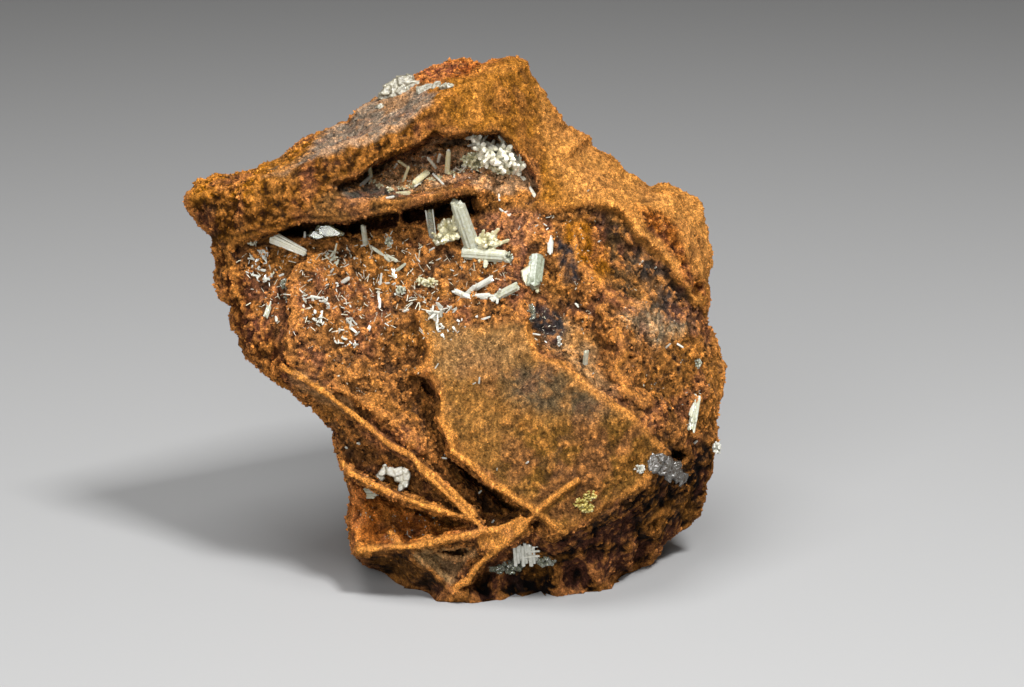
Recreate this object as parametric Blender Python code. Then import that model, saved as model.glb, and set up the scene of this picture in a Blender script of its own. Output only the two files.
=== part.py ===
"""Adamite on matrix: prisms and sprays of adamite on a broken lump of limonite boxwork.

Metres, +Z up. The stone stands on its flat foot, with its crystal face towards -Y and the origin
on the ground under the middle of its box.

Places on the stone are given as its viewer sees them: a column and a row of the picture, and a
depth in millimetres, positive towards the viewer. PIXEL turns columns and rows into real size.
"""

import math
import random

import bmesh
import bpy
from mathutils import Matrix, Vector
from mathutils.bvhtree import BVHTree
from mathutils.geometry import delaunay_2d_cdt

MM = 0.001
STONE_WIDTH = 67.3 * MM
WIDTH_COLUMNS = (187, 725)
PIXEL = STONE_WIDTH / (WIDTH_COLUMNS[1] - WIDTH_COLUMNS[0])
FOOT_COLUMN, FOOT_ROW = 456, 604
EYE_COLUMN, EYE_ROW = 512, 343.5
EYE_DISTANCE = 420 * MM
EYE_ELEVATION = math.radians(15)
STAND_Y = -19.1 * MM
GAP = 0.3 * MM

# How far in mm a prism's root is sunk, how much of its end its roof takes, and how far in mm crust
# stands out and runs on past its ends.
SUNK = 0.4
ROOF, ROOF_EDGE = 0.4, 0.8
CRUST_STANDS, CRUST_OVERLAP = 0.15, 0.4

# A faceted lump's rings of corners: their lean, and how many there are. Then how far they stray.
LUMP_RINGS = [(math.radians(-48), 4), (0, 6), (math.radians(50), 4)]
LUMP_STRAY = 14

# The stone's even grains, the lumps and knobs on it (size and height), and how far it is thinned.
GRAIN = 0.52 * MM
LUMPS = (7 * MM, 1.3 * MM)
KNOBS = (2.2 * MM, 0.7 * MM)
STONE_TRIANGLES = 3100
FRONT_WEIGHT = 0.7

# The outline narrows towards this place as it is carried back, but not below this row.
MIDDLE = (470, 330)
LEVEL_ROW = 480

# Each septum's root is this much thicker than its lit edge. The hollows are cut from this many mm in
# front, and narrow by these shares towards the back.
ROOT_SHARE = 1.5
CUT_FRONT = 12
CUT_NARROWS = (0.85, 0.8)
BLOCK = 120 * MM

LIMONITE = (0.36, 0.16, 0.05)
ADAMITE = (0.72, 0.74, 0.55)
CALCITE = (0.5, 0.55, 0.58)
STONE_ROUGHNESS, CRYSTAL_ROUGHNESS = 0.85, 0.2

# How the outline narrows behind the face: its scale, and the depth in mm it narrows at.
RINGS = [(0.985, -16), (0.95, -26), (0.88, -36), (0.8, -48)]

# The outline of the stone, clockwise from the left tip.
OUTLINE = [
    (187, 203, -2), (198, 182, -3), (214, 175, -4), (244, 174, -5), (259, 168, -5), (281, 160, -5),
    (305, 138, -8), (329, 129, -9), (348, 123, -9), (357, 107, -10), (377, 97, -11), (396, 82, -11),
    (410, 68, -12), (429, 62, -12), (462, 59, -11), (477, 64, -9), (503, 60, -7), (514, 58, -7),
    (527, 62, -8), (529, 73, -8), (544, 92, -8), (555, 112, -8), (566, 127, -9), (588, 138, -10),
    (588, 147, -10), (610, 158, -10), (625, 173, -10), (651, 187, -11), (669, 182, -12),
    (688, 192, -13), (708, 203, -14), (714, 221, -14), (719, 242, -14), (716, 262, -14),
    (708, 280, -13), (708, 314, -13), (705, 329, -12), (716, 351, -11), (725, 373, -11),
    (725, 395, -12), (717, 414, -12), (717, 432, -13), (724, 451, -14), (722, 480, -15),
    (714, 499, -16), (699, 517, -16), (680, 528, -16), (658, 547, -16), (647, 569, -17),
    (629, 577, -13), (618, 592, -8), (600, 601, -5), (560, 608, -3), (500, 612, -1), (430, 612, -2),
    (406, 603, -5), (392, 590, -8), (388, 576, -9), (362, 562, -6), (355, 547, -3), (351, 525, -3),
    (353, 491, -3), (348, 473, -3), (340, 458, -3), (336, 432, -4), (323, 414, -3), (299, 395, -2),
    (270, 373, -2), (249, 354, -3), (240, 336, -4), (233, 321, -4), (236, 303, -4), (220, 297, -4),
    (216, 277, -4), (218, 262, -4), (212, 236, -4), (195, 221, -3),
]

# The bent edges of the face, each a line that the surface breaks along.
FACE_LINES = {
    "slab crest": [
        (201, 192, -0.5), (225, 185, 1), (262, 177, 2.5), (311, 160, 3.5), (335, 149, 3.5),
        (371, 139, 3.5), (397, 127, 3), (420, 111, 2.5), (444, 97, 2), (458, 87, 1), (490, 76, -1),
        (515, 68, -4),
    ],
    "slab back edge": [
        (281, 164, -3), (309, 143, -6), (347, 130, -7), (362, 110, -8), (400, 88, -9),
        (432, 70, -9.5), (462, 66, -8.5),
    ],
    "slab foot and shelf edge": [
        (217, 236, -1.5), (236, 240, 1), (264, 233, 3), (285, 227, 4), (303, 222, 4.5),
        (346, 224, 4.5), (368, 220, 4), (400, 211, 3), (434, 204, 2), (455, 197, 1), (470, 192, 0.5),
        (482, 190, -1),
    ],
    "shelf top": [
        (330, 195, 5), (347, 199, 5), (374, 199, 4.5), (400, 201, 4), (440, 193, 3),
        (464, 187, 1.5), (480, 186, -1),
    ],
    "shelf inner edge": [(338, 191, 1), (374, 194, -1), (400, 195, -2), (440, 187, -3), (470, 180, -4)],
    "hollow roof lip": [
        (331, 182, 4.5), (356, 175, 4), (368, 165, 3.5), (392, 151, 3), (420, 141, 2),
        (434, 130, 1.5), (448, 134, 1.5), (470, 131, 1), (500, 130, 0), (513, 141, -1),
        (525, 158, -1.5), (537, 175, -2), (541, 191, -2), (533, 204, -2.5),
    ],
    "hollow roof foot": [
        (340, 185, -1), (358, 179, -5), (370, 169, -6), (394, 155, -8), (422, 145, -9),
        (440, 139, -9), (470, 136, -8), (498, 135, -7), (508, 145, -6.5), (520, 160, -6),
        (532, 177, -5), (536, 191, -4.5), (529, 201, -3.5),
    ],
    "slot sill": [
        (240, 246, -1), (270, 239, -2), (299, 238, -2.5), (346, 235, -3), (368, 231, -3.5),
        (400, 224, -4), (423, 220, -4), (449, 218, -4.5), (480, 214, -4), (497, 208, -3.5),
        (520, 208, -2.8),
    ],
    "step top": [(312, 260, 0.8), (293, 277, 1.3), (294, 314, 2.5), (289, 350, 2.8), (299, 376, 3)],
    "step foot": [(306, 258, -0.8), (288, 278, -0.8), (289, 314, -0.5), (283, 346, 0.5), (286, 371, 1.5)],
    "left shoulder": [(228, 250, -1), (232, 275, -1), (238, 296, -1.5), (250, 318, -1), (256, 338, -1)],
    "plate left top": [
        (424, 308, 0.5), (417, 314, 1.2), (422, 326, 1.8), (430, 350, 2.8), (426, 365, 3),
        (411, 373, 2), (432, 377, 3.5), (441, 398, 4.3), (441, 421, 4.8), (452, 434, 5.5),
    ],
    "plate left foot": [
        (413, 314, -0.8), (417, 327, -0.8), (425, 350, -0.5), (420, 362, 0), (406, 376, 0),
        (428, 383, -2.5), (435, 400, -3), (434, 421, -1.5), (445, 437, -1.5),
    ],
    "plate right top": [
        (527, 322, 2.5), (532, 343, 3.8), (537, 356, 4.3), (569, 367, 5), (584, 382, 5.5),
        (604, 400, 6), (628, 413, 6), (645, 430, 5), (660, 447, 2.5),
    ],
    "plate right foot": [
        (532, 320, 1.2), (537, 342, 1.8), (542, 352, 2.3), (572, 363, 3), (588, 379, 3.5),
        (608, 397, 4), (632, 409, 4),
    ],
    "plate edge top": [
        (452, 434, 5.5), (454, 452, 5.4), (471, 464, 5.8), (488, 481, 6.1), (504, 490, 6.3),
        (521, 502, 6.5), (536, 512, 6.6), (549, 523, 6.1), (560, 532, 5.3),
    ],
    "plate edge foot": [
        (445, 437, -1.5), (449, 455, -3), (467, 468, -4), (484, 485, -4.5), (500, 494, -4),
        (517, 507, -3), (531, 517, 0),
    ],
    "face foot edge": [
        (560, 532, 5.3), (576, 525, 6), (595, 513, 6), (617, 500, 5.5), (640, 484, 4.5),
        (652, 474, 2.5),
    ],
    "crest ridge": [
        (575, 240, -0.5), (578, 259, 0.3), (588, 270, 1), (603, 281, 1.3), (607, 292, 1.6),
        (619, 299, 1.3), (638, 306, 0.8),
    ],
    "crest foot": [(586, 262, -0.8), (598, 272, -0.5), (612, 284, -0.4), (628, 296, -0.5)],
    "ear top": [
        (598, 310, 2.6), (605, 315, 3.2), (619, 329, 3.8), (624, 346, 3.8), (628, 355, 3.3),
        (616, 367, 3.5), (624, 388, 4.8), (640, 398, 4),
    ],
    "ear foot": [(592, 312, 0.6), (594, 328, 0.6), (598, 345, 1), (604, 362, 1.6)],
    "shoulder edge": [
        (541, 206, -1.2), (565, 207, -1.2), (589, 201, -1.6), (620, 206, -2), (633, 219, -2.2),
        (640, 235, -2.2), (661, 250, -2.6), (675, 270, -3.2), (689, 288, -4.2), (698, 302, -5.2),
    ],
    "shoulder foot": [
        (541, 212, -2.2), (565, 213, -2.4), (587, 208, -2.6), (616, 213, -3.2), (627, 224, -3.4),
        (634, 240, -3.6), (655, 256, -4), (669, 275, -4.6), (683, 293, -5.4), (692, 307, -6.2),
        (700, 324, -7.5),
    ],
    "bottom block edge": [(358, 549, 0.5), (393, 545, 1.5), (433, 540, 2.5), (477, 530, 3.5)],
    "facet edge": [(412, 550, 1.5), (430, 569, 0.5), (446, 588, 0.5)],
    "right blade": [(661, 514, -6.6), (657, 540, -9.2), (649, 563, -13.5)],
    "lower blade": [(630, 524, -2.6), (631, 548, -4.2), (630, 570, -8)],
    "lower blade foot": [(636, 526, -6.5), (636, 548, -9.5), (634, 566, -12.5)],
    "pale rib": [(577, 553, -0.3), (588, 568, -2), (600, 582, -3.6)],
}

# Single places on the face, between those lines.
FACE_SPOTS = [
    (250, 200, 4), (290, 190, 5), (310, 205, 5.5), (240, 220, 2.5), (280, 212, 4.5), (355, 160, 4),
    (400, 140, 3.5), (335, 168, 4.5), (470, 108, 1), (505, 100, -1), (530, 122, -3), (520, 85, -4),
    (545, 150, -3.3), (556, 180, -2.3), (480, 122, 0.8), (410, 100, -4), (370, 122, -3),
    (320, 148, -2), (460, 76, -5),
    (400, 178, -5), (430, 165, -7), (460, 160, -7.5), (495, 160, -6.5), (515, 182, -4.5),
    (495, 195, -3.8), (470, 170, -6.5), (445, 178, -5),
    (262, 262, -0.5), (262, 290, -1.4), (275, 318, -1.2), (262, 345, -0.6), (340, 262, -1.2),
    (380, 262, -2), (420, 250, -3), (450, 255, -3), (480, 270, -2), (520, 255, -1.5),
    (545, 226, -1.6), (340, 300, 1), (380, 310, 0.5), (415, 292, -0.4), (330, 350, 2.4),
    (370, 360, 1.6), (398, 335, 0.2), (350, 395, 3.9), (388, 404, 3), (400, 428, 4.2), (376, 412, 4.1),
    (416, 444, 3.9), (430, 452, 2.6), (465, 300, 0.8), (500, 285, 0.3), (520, 300, 1),
    (470, 340, 3.2), (505, 350, 3.6), (480, 390, 5), (525, 400, 5.6), (565, 405, 5.6),
    (500, 440, 6.5), (545, 450, 7), (585, 440, 7), (612, 440, 6), (560, 480, 8), (600, 480, 7.3),
    (622, 462, 6.4), (480, 430, 6), (540, 495, 7),
    (548, 322, 0.6), (562, 300, -0.4), (572, 340, 1.3), (590, 362, 2), (612, 382, 2.8),
    (545, 265, -1.4), (556, 280, -1), (600, 230, -3), (632, 255, -3.6), (622, 280, -2.2),
    (660, 292, -4.2), (682, 318, -5.4), (652, 330, -1.6), (692, 352, -5.4), (662, 370, -1.8),
    (642, 362, 0.6), (642, 385, 1.4), (672, 400, -2), (560, 225, -2.4),
    (560, 165, -3), (600, 182, -4), (642, 205, -4.5), (670, 205, -7), (690, 228, -8.5),
    (702, 260, -10), (697, 290, -9), (575, 145, -6), (655, 225, -4.4), (680, 255, -5.6),
    (682, 402, -3.4), (702, 395, -6), (690, 430, -5), (665, 440, -0.5), (706, 440, -9),
    (675, 456, -4), (702, 462, -10), (668, 482, -4), (700, 345, -7.5), (712, 385, -8),
    (662, 502, -7), (692, 490, -12), (642, 522, -5), (612, 530, -0.5), (592, 552, -2),
    (620, 560, -5.5), (643, 545, -10), (653, 522, -9), (685, 510, -14), (580, 540, 1),
    (605, 560, -2.5),
    (350, 446, -3.5), (375, 463, -2.5), (400, 482, -3.5), (430, 500, -3), (365, 440, -1),
    (452, 480, 2.2), (470, 497, 1.2), (486, 514, -1), (505, 517, -4), (444, 466, 2), (530, 530, 1),
    (362, 490, -4), (390, 506, -6), (430, 524, -6), (460, 530, -4), (365, 512, -2.5),
    (385, 527, -3), (412, 536, -3), (440, 535, -2.5), (356, 532, -1.5),
    (364, 560, -4), (395, 562, -5), (408, 585, -6), (430, 590, -5), (448, 566, -2),
    (432, 556, -1.5), (462, 566, -2.5), (480, 585, -5), (500, 566, -3), (530, 560, -2.5),
    (556, 560, -1.5), (530, 588, -6), (580, 575, -5), (575, 545, 1.5), (510, 545, 1),
    (545, 545, 2),
]

# Thin septa of the boxwork: their lit edges, their thickness and how far back they run, in mm.
SEPTA = {
    "long septum": ([
        (284, 368, 2.6), (299, 376, 3), (329, 396, 3.6), (362, 421, 4), (388, 444, 4.5),
        (412, 456, 4.4), (421, 471, 4.4), (436, 484, 4.4), (462, 509, 4.4), (485, 531, 4.8),
    ], 0.9, 5),
    "second edge": ([(418, 463, 4), (438, 478, 3.6), (455, 493, 3.6), (474, 513, 4)], 0.9, 4),
    "left septum": ([
        (342, 462, -0.5), (350, 473, 1.2), (371, 484, 2.4), (396, 496, 3), (424, 506, 3.6),
        (442, 511, 4), (470, 519, 4.2),
    ], 0.8, 6),
    "level septum": ([
        (358, 552, 0.5), (393, 547, 2.4), (412, 547, 3), (433, 543, 3.6), (455, 538, 4),
        (478, 533, 4.5), (503, 528, 5), (521, 520, 5.6),
    ], 0.8, 6),
    "crossing septum": ([
        (454, 588, 0.4), (468, 580, 1.5), (478, 566, 2.6), (492, 553, 3.8), (506, 542, 4.8),
        (521, 530, 5.6), (536, 512, 6.8), (560, 493, 8.2), (577, 481, 8.6),
    ], 0.9, 6),
    "crossing web": ([(486, 541, 4), (502, 535, 4.7), (520, 526, 5.4)], 2.2, 4),
    "plate edge": ([
        (441, 421, 4.8), (450, 436, 5.5), (453, 452, 5.6), (471, 464, 6), (488, 481, 6.3),
        (504, 490, 6.5), (521, 502, 6.7), (536, 512, 6.8), (549, 523, 6.3), (566, 533, 5.5),
    ], 1.1, 5),
    "knob wall": ([(390, 533, 0), (398, 541, 1), (402, 548, 2)], 0.8, 3),
}

# Dark hollows between the septa and under the shelf: their mouths, and how far back they reach.
HOLLOWS = {
    "slot left": ([(262, 238), (285, 228), (303, 223), (352, 225), (352, 235), (300, 238)], -13),
    "slot middle": ([(345, 225), (370, 221), (402, 212), (402, 224), (368, 231), (345, 235)], -15),
    "slot right": ([
        (398, 213), (430, 205), (462, 195), (480, 193), (483, 213), (450, 218), (423, 220), (398, 224),
    ], -16),
    "roof left": ([(352, 179), (370, 168), (394, 154), (422, 144), (432, 150), (380, 176)], -12),
    "roof right": ([(420, 144), (436, 137), (470, 135), (500, 134), (512, 146), (470, 150), (425, 152)], -12),
    "boxwork cell": ([
        (449, 460), (456, 457), (474, 469), (503, 492), (529, 515), (514, 521), (496, 508),
        (472, 486), (452, 467),
    ], -9),
    "left cell": ([(357, 482), (396, 500), (440, 515), (476, 529), (456, 533), (425, 520), (380, 502)], -9),
    "small cell": ([(424, 549), (455, 545), (480, 543), (476, 551), (466, 560), (448, 557)], -7),
    "plate hole": ([(414, 379), (428, 379), (438, 392), (439, 409), (430, 404), (420, 390)], -6),
    "ear notch": ([(591, 310), (597, 310), (598, 324), (592, 326)], -4),
    "ear pit": ([(625, 353), (638, 355), (637, 362), (628, 362)], -3),
    "corner pit": ([(668, 447), (684, 446), (691, 455), (681, 465), (670, 462)], -10),
    "brow pit": ([(312, 192), (321, 193), (319, 198), (309, 198)], 1),
}

# Broken planes that trim the back: a place on each in mm, and the way it faces.
BACK_BREAKS = [
    ((0, 20, 30), (-0.12, 1, 0.1)),
    ((20, 16, 50), (0.75, 0.8, 0.7)),
    ((-12, 13, 50), (-0.65, 0.9, 0.75)),
    ((22, 15, 24), (1, 0.75, -0.15)),
    ((-18, 12, 26), (-1, 0.8, -0.3)),
    ((3, 18, 9), (0.15, 1, -0.5)),
    ((2, 14, 62), (0.1, 0.55, 1)),
    ((-9, 20, 16), (-0.5, 1, -0.2)),
    ((35, 6, 42), (1, 0.25, 0.35)),
]


def prism(base, tip, rise, width, end=None, flat=0.75, blunt=False, on=None):
    """A prism from its root on the stone to a tip that stands `rise` mm in front of the root.

    The root's depth is the stone's at `on`, where that is given."""
    return {"base": base, "tip": tip, "rise": rise, "width": width, "end": end or width, "flat": flat,
            "blunt": blunt, "on": on or base}


def lump(middle, half_width, half_height, stand=0.3, deep=1.0, on=None):
    """A faceted mass whose middle stands `stand` mm in front of the stone, `deep` mm out and in."""
    return {"middle": middle, "half": (half_width, half_height), "stand": stand, "deep": deep,
            "on": on or middle}


def strip(path, width, deep=0.9):
    """Low crust that follows the stone from place to place, `deep` mm into it."""
    return [{"ends": ends, "width": width, "deep": deep} for ends in zip(path, path[1:])]


# The crystals, node by node. Widths and half sizes are in picture units, rises in mm.
CRYSTALS = {
    "adamite_centre_cluster": [
        prism((473, 248), (455.5, 199.5), 3.2, 15.5, 14.5, flat=0.85, blunt=True),
        prism((463, 253), (514, 258), 1.4, 12),
        lump((487, 243), 15, 9, 0.6, 1.3),
        lump((447, 231), 18, 12, 0.4, 1.5, on=(447, 240)),
        prism((432, 239), (428.5, 208.5), 1.6, 8.2, blunt=True, on=(447, 240)),
        lump((470, 248), 9, 8, 0.4, 1.3),
    ],
    "adamite_blocky_prism": [
        prism((537, 257), (532, 289), 1.8, 18, 15, flat=0.8),
        prism((525, 266), (528, 288), 1.5, 9),
        prism((537, 281), (537.5, 293), 1.3, 4),
    ],
    "adamite_left_prism": [prism((272, 237), (311, 256), 0.8, 13, 7)],
    "adamite_slot_wedge": [
        lump((315.5, 234.5), 9, 5, 0.3, 1.1, on=(316, 243)),
        lump((330, 231), 15, 6, 0.3, 1.3, on=(330, 243)),
    ],
    "adamite_hanging_prism": [prism((366, 247), (363, 223.5), 1.8, 5.5, blunt=True)],
    "adamite_twin_prisms": [
        prism((372, 277), (363.5, 306), 0.7, 7),
        prism((375, 279), (371, 298), 0.5, 5),
    ],
    "adamite_fang_prism": [
        prism((379.5, 281), (379.3, 307), 0.8, 7, 4.5),
        prism((380, 286), (381.5, 273), 0.6, 4),
    ],
    "adamite_falling_chain": [
        prism((391, 262), (371.5, 246.5), 0.7, 5, on=(385, 257)),
        prism((385, 255), (398, 261.5), 0.8, 5, on=(385, 257)),
        prism((389, 259), (396.5, 281.5), 0.7, 6.5, on=(389, 259)),
        prism((394, 273), (406, 263.5), 0.6, 5, on=(393, 271)),
    ],
    "adamite_cream_prism": [prism((494, 298), (520, 284.5), 1.2, 9, flat=0.9, blunt=True)],
    "adamite_white_chain": [
        prism((474, 300), (452, 289.5), 0.6, 6, on=(470, 297)),
        prism((466, 297), (494, 277), 1.1, 7, on=(470, 294)),
        prism((468, 296), (491, 294.5), 0.7, 5, on=(470, 296)),
    ],
    "adamite_sill_prism": [prism((500.5, 209), (510.5, 218.5), 0.9, 8.5, blunt=True)],
    "adamite_east_prism": [prism((550.5, 234), (550, 256), 0.7, 7)],
    "adamite_right_edge_prism": [
        prism((697, 395), (693, 428), 1.0, 12, 10, flat=0.6, on=(694, 404)),
        prism((693, 412), (680, 437), 1.0, 8, 4, on=(694, 404)),
        prism((696, 410), (700, 432), 1.0, 7, 5, on=(694, 404)),
    ],
    "adamite_crescent": [
        lump((381, 478), 8, 6, 0.3, 1.3, on=(392, 476)),
        lump((391, 469), 9, 7, 0.5, 1.4, on=(392, 476)),
        lump((402, 475), 9, 13, 0.5, 1.5, on=(396, 478)),
    ],
    "adamite_rods": [
        lump((366, 493), 6, 4, -0.1, 0.9),
        prism((366, 491), (379.5, 490.5), 0.5, 3.5),
        prism((365, 495), (380, 495.5), 0.5, 3.5),
        prism((366, 492), (357, 490), 0.4, 3.5),
    ],
    "adamite_foot_druse": [
        lump((508, 566), 20, 9, 0.4, 1.6, on=(516, 562)),
        lump((525, 554), 13, 13, 0.9, 1.8, on=(522, 560)),
        lump((545, 559), 13, 10, 0.6, 1.6, on=(538, 560)),
    ],
    "adamite_yellow_druse": [
        lump((581, 503), 9, 6, 0.2, 1.2, on=(586, 502)),
        lump((590, 496), 8, 7, 0.2, 1.2, on=(586, 502)),
        lump((587, 508), 9, 6, 0.2, 1.2, on=(586, 502)),
    ],
    "calcite_corner": [
        lump((656, 462), 10, 11, 0.3, 1.5, on=(658, 465)),
        lump((667, 471), 12, 8, 0.1, 1.6, on=(658, 465)),
    ],
    "adamite_west_chain": [
        lump((260, 256), 6, 5, -0.1, 0.9),
        prism((261, 256), (247.5, 257.5), 0.6, 5),
        prism((259, 254), (266.5, 262), 0.5, 5),
        prism((261, 258), (264, 249.5), 0.6, 4),
    ],
    "adamite_west_rods": [
        lump((262, 273), 8, 5, -0.1, 0.9),
        prism((266, 272), (253.5, 266.5), 0.5, 6),
        prism((257, 275.5), (272.5, 277), 0.5, 5),
    ],
    "adamite_grey_druse": [
        lump((285.5, 284), 6, 7, 0.3, 1.1),
        lump((288, 295), 5, 8, 0.2, 1.2, on=(286, 289)),
    ],
    "adamite_pale_prism": [prism((272.5, 297), (265, 318.5), 0.7, 6)],
    "adamite_west_spray": [
        lump((312, 304), 8, 6, -0.1, 1.0),
        prism((308, 308), (321.5, 323.5), 0.7, 5.5),
        prism((313, 306), (321, 318.5), 0.6, 4),
        prism((314, 302), (329.5, 305), 0.6, 4),
        prism((312, 303), (321.5, 298.5), 0.6, 4),
        prism((309, 305), (302, 297), 0.5, 4),
    ],
    "adamite_bent_prism": [
        lump((341, 284), 4, 3.5, 0, 0.9),
        prism((341, 283), (331.5, 283.8), 0.7, 4.5),
        prism((340, 283.5), (350, 277.3), 0.7, 4.5),
    ],
    "adamite_middle_knot": [
        lump((421, 282), 6, 5, 0.2, 1.1),
        lump((431, 283), 9, 5.5, 0.2, 1.1),
    ],
    "adamite_pale_knot": [lump((401, 290), 6, 5, 0.1, 0.9)],
    "adamite_south_spray": [
        lump((350, 334), 7, 7, -0.1, 1.0),
        prism((351.5, 332), (355.5, 346), 0.8, 5),
        prism((351, 332), (346, 319), 0.7, 4.5),
        prism((349, 335), (338, 343), 0.6, 4),
    ],
    "adamite_south_prism": [prism((372.7, 319.5), (368, 331.5), 0.6, 4.5)],
    "adamite_east_spray": [
        lump((446, 318), 9, 8, -0.1, 1.1),
        prism((446, 318), (426, 311), 0.6, 4),
        prism((446, 317), (430, 319), 0.6, 4),
        prism((447, 315), (465.5, 327), 0.7, 4.5),
        prism((445, 316), (436, 302), 0.6, 4),
        prism((446, 316), (457, 308.5), 0.6, 4),
        prism((445, 321), (438, 330), 0.6, 5),
        prism((444, 322), (448, 342), 0.7, 5),
    ],
    "adamite_pale_druse": [lump((531, 313), 6, 10, 0.1, 1.0)],
    "adamite_gully_prism": [prism((559, 346.5), (559.3, 335.5), 0.9, 5)],
    "adamite_slope_prism": [prism((585, 366), (586.5, 349), 0.9, 6)],
    "adamite_upper_knob": [lump((389, 242), 5, 6, 0.2, 1.0)],
    "adamite_fuzz_spray": [
        lump((331, 261), 5.5, 7, 0.1, 1.0),
        prism((333, 259), (336.8, 243), 1.2, 4, on=(331, 261)),
    ],
    "adamite_chip": [lump((252, 241.5), 5.5, 4.5, 0.1, 0.9)],
    "adamite_top_crust": [
        lump((392, 93), 8, 6, 0.2, 1.4, on=(400, 93)),
        lump((403, 85), 11, 6.5, 0.2, 1.3, on=(404, 90)),
        lump((412, 88), 12, 6.5, 0.2, 1.3, on=(406, 90)),
    ],
    "adamite_crest_crust": [lump((446, 87), 9, 5.5, 0.2, 1.2)],
    "adamite_edge_druse": [lump((697, 363), 6, 6.5, 0.1, 1.0)],
    "adamite_rim_druse": [lump((717, 448), 5.5, 7, 0.2, 1.2, on=(709, 448))],
    "adamite_hollow_crust": [
        *strip([(370, 181), (388, 190), (412, 187), (434, 178), (456, 172), (480, 168), (504, 166)], 9),
        *strip([(504, 166), (517, 178), (530, 190)], 8),
        lump((495, 153), 17, 13, 0.6, 1.8, on=(500, 165)),
        lump((512, 166), 15, 12, 0.6, 1.8, on=(500, 165)),
        lump((480, 161), 22, 10, 0.6, 2.0, on=(500, 165)),
        lump((446, 171), 13, 7, 0.2, 1.6, on=(448, 176)),
        prism((512, 168), (526, 182), 1.6, 6, on=(500, 165)),
        prism((504, 166), (506.5, 188), 2, 6.5, on=(500, 165)),
        prism((528, 187), (538, 200), 1.2, 5.5, on=(529, 188)),
        prism((447, 173), (448.7, 150), 2.2, 6.5, on=(448, 176)),
        prism((438, 175), (430, 157), 2, 5, on=(446, 176)),
        prism((430, 179), (413.5, 185), 1.8, 8, on=(430, 180)),
        prism((371, 181), (368.5, 165), 1.2, 5, on=(371, 181)),
        prism((371, 181), (360, 187), 1.6, 5, on=(371, 181)),
    ],
}

# Sprays of needles: each is one low solid round all its prisms.
SPRAYS = {
    "adamite_rods", "adamite_west_chain", "adamite_west_rods", "adamite_west_spray",
    "adamite_bent_prism", "adamite_south_spray", "adamite_east_spray", "adamite_fuzz_spray",
}


def seen(column, row, depth):
    """The place that the viewer sees at this column and row, depth mm in front of the face."""
    forward = depth * MM
    spread = (EYE_DISTANCE - forward) / EYE_DISTANCE
    across = (EYE_COLUMN - FOOT_COLUMN + (column - EYE_COLUMN) * spread) * PIXEL
    up = (FOOT_ROW - EYE_ROW + (EYE_ROW - row) * spread) * PIXEL
    sine, cosine = math.sin(EYE_ELEVATION), math.cos(EYE_ELEVATION)
    return Vector((across, up * sine - forward * cosine + STAND_Y, up * cosine + forward * sine))


def eye():
    """Where the viewer's eye is."""
    return seen(EYE_COLUMN, EYE_ROW, EYE_DISTANCE / MM)


def add_object(name, mesh):
    thing = bpy.data.objects.new(name, mesh)
    bpy.context.scene.collection.objects.link(thing)
    return thing


def from_bmesh(name, shape):
    mesh = bpy.data.meshes.new(name)
    shape.to_mesh(mesh)
    shape.free()
    return add_object(name, mesh)


def hull(name, points):
    """The convex solid round these points."""
    shape = bmesh.new()
    for point in points:
        shape.verts.new(point)
    made = bmesh.ops.convex_hull(shape, input=shape.verts)
    bmesh.ops.delete(shape, geom=list(set(made["geom_interior"] + made["geom_unused"])), context="VERTS")
    bmesh.ops.recalc_face_normals(shape, faces=shape.faces)
    return from_bmesh(name, shape)


def settle(thing):
    """Makes what the object's modifiers show its own mesh."""
    graph = bpy.context.evaluated_depsgraph_get()
    mesh = bpy.data.meshes.new_from_object(thing.evaluated_get(graph))
    thing.modifiers.clear()
    thing.data = mesh


def combine(thing, others, operation):
    """Cuts the other objects from this one, or joins them to it, and removes them."""
    group = bpy.data.collections.new("operands")
    bpy.context.scene.collection.children.link(group)
    for other in others:
        bpy.context.scene.collection.objects.unlink(other)
        group.objects.link(other)
    step = thing.modifiers.new("combine", "BOOLEAN")
    step.operation = operation
    step.solver = "EXACT"
    step.operand_type = "COLLECTION"
    step.collection = group
    settle(thing)
    for other in others:
        bpy.data.objects.remove(other)
    bpy.data.collections.remove(group)


def drop_crumbs(thing):
    """Removes the loose bits that a cut left beside the main body."""
    shape = bmesh.new()
    shape.from_mesh(thing.data)
    bodies, left = [], set(shape.verts)
    while left:
        body, edge_of_body = set(), [left.pop()]
        while edge_of_body:
            vertex = edge_of_body.pop()
            body.add(vertex)
            near = {edge.other_vert(vertex) for edge in vertex.link_edges} & left
            left -= near
            edge_of_body += near
        bodies.append(body)
    bodies.sort(key=len)
    crumbs = [vertex for body in bodies[:-1] for vertex in body]
    bmesh.ops.delete(shape, geom=crumbs, context="VERTS")
    shape.to_mesh(thing.data)
    shape.free()


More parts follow.
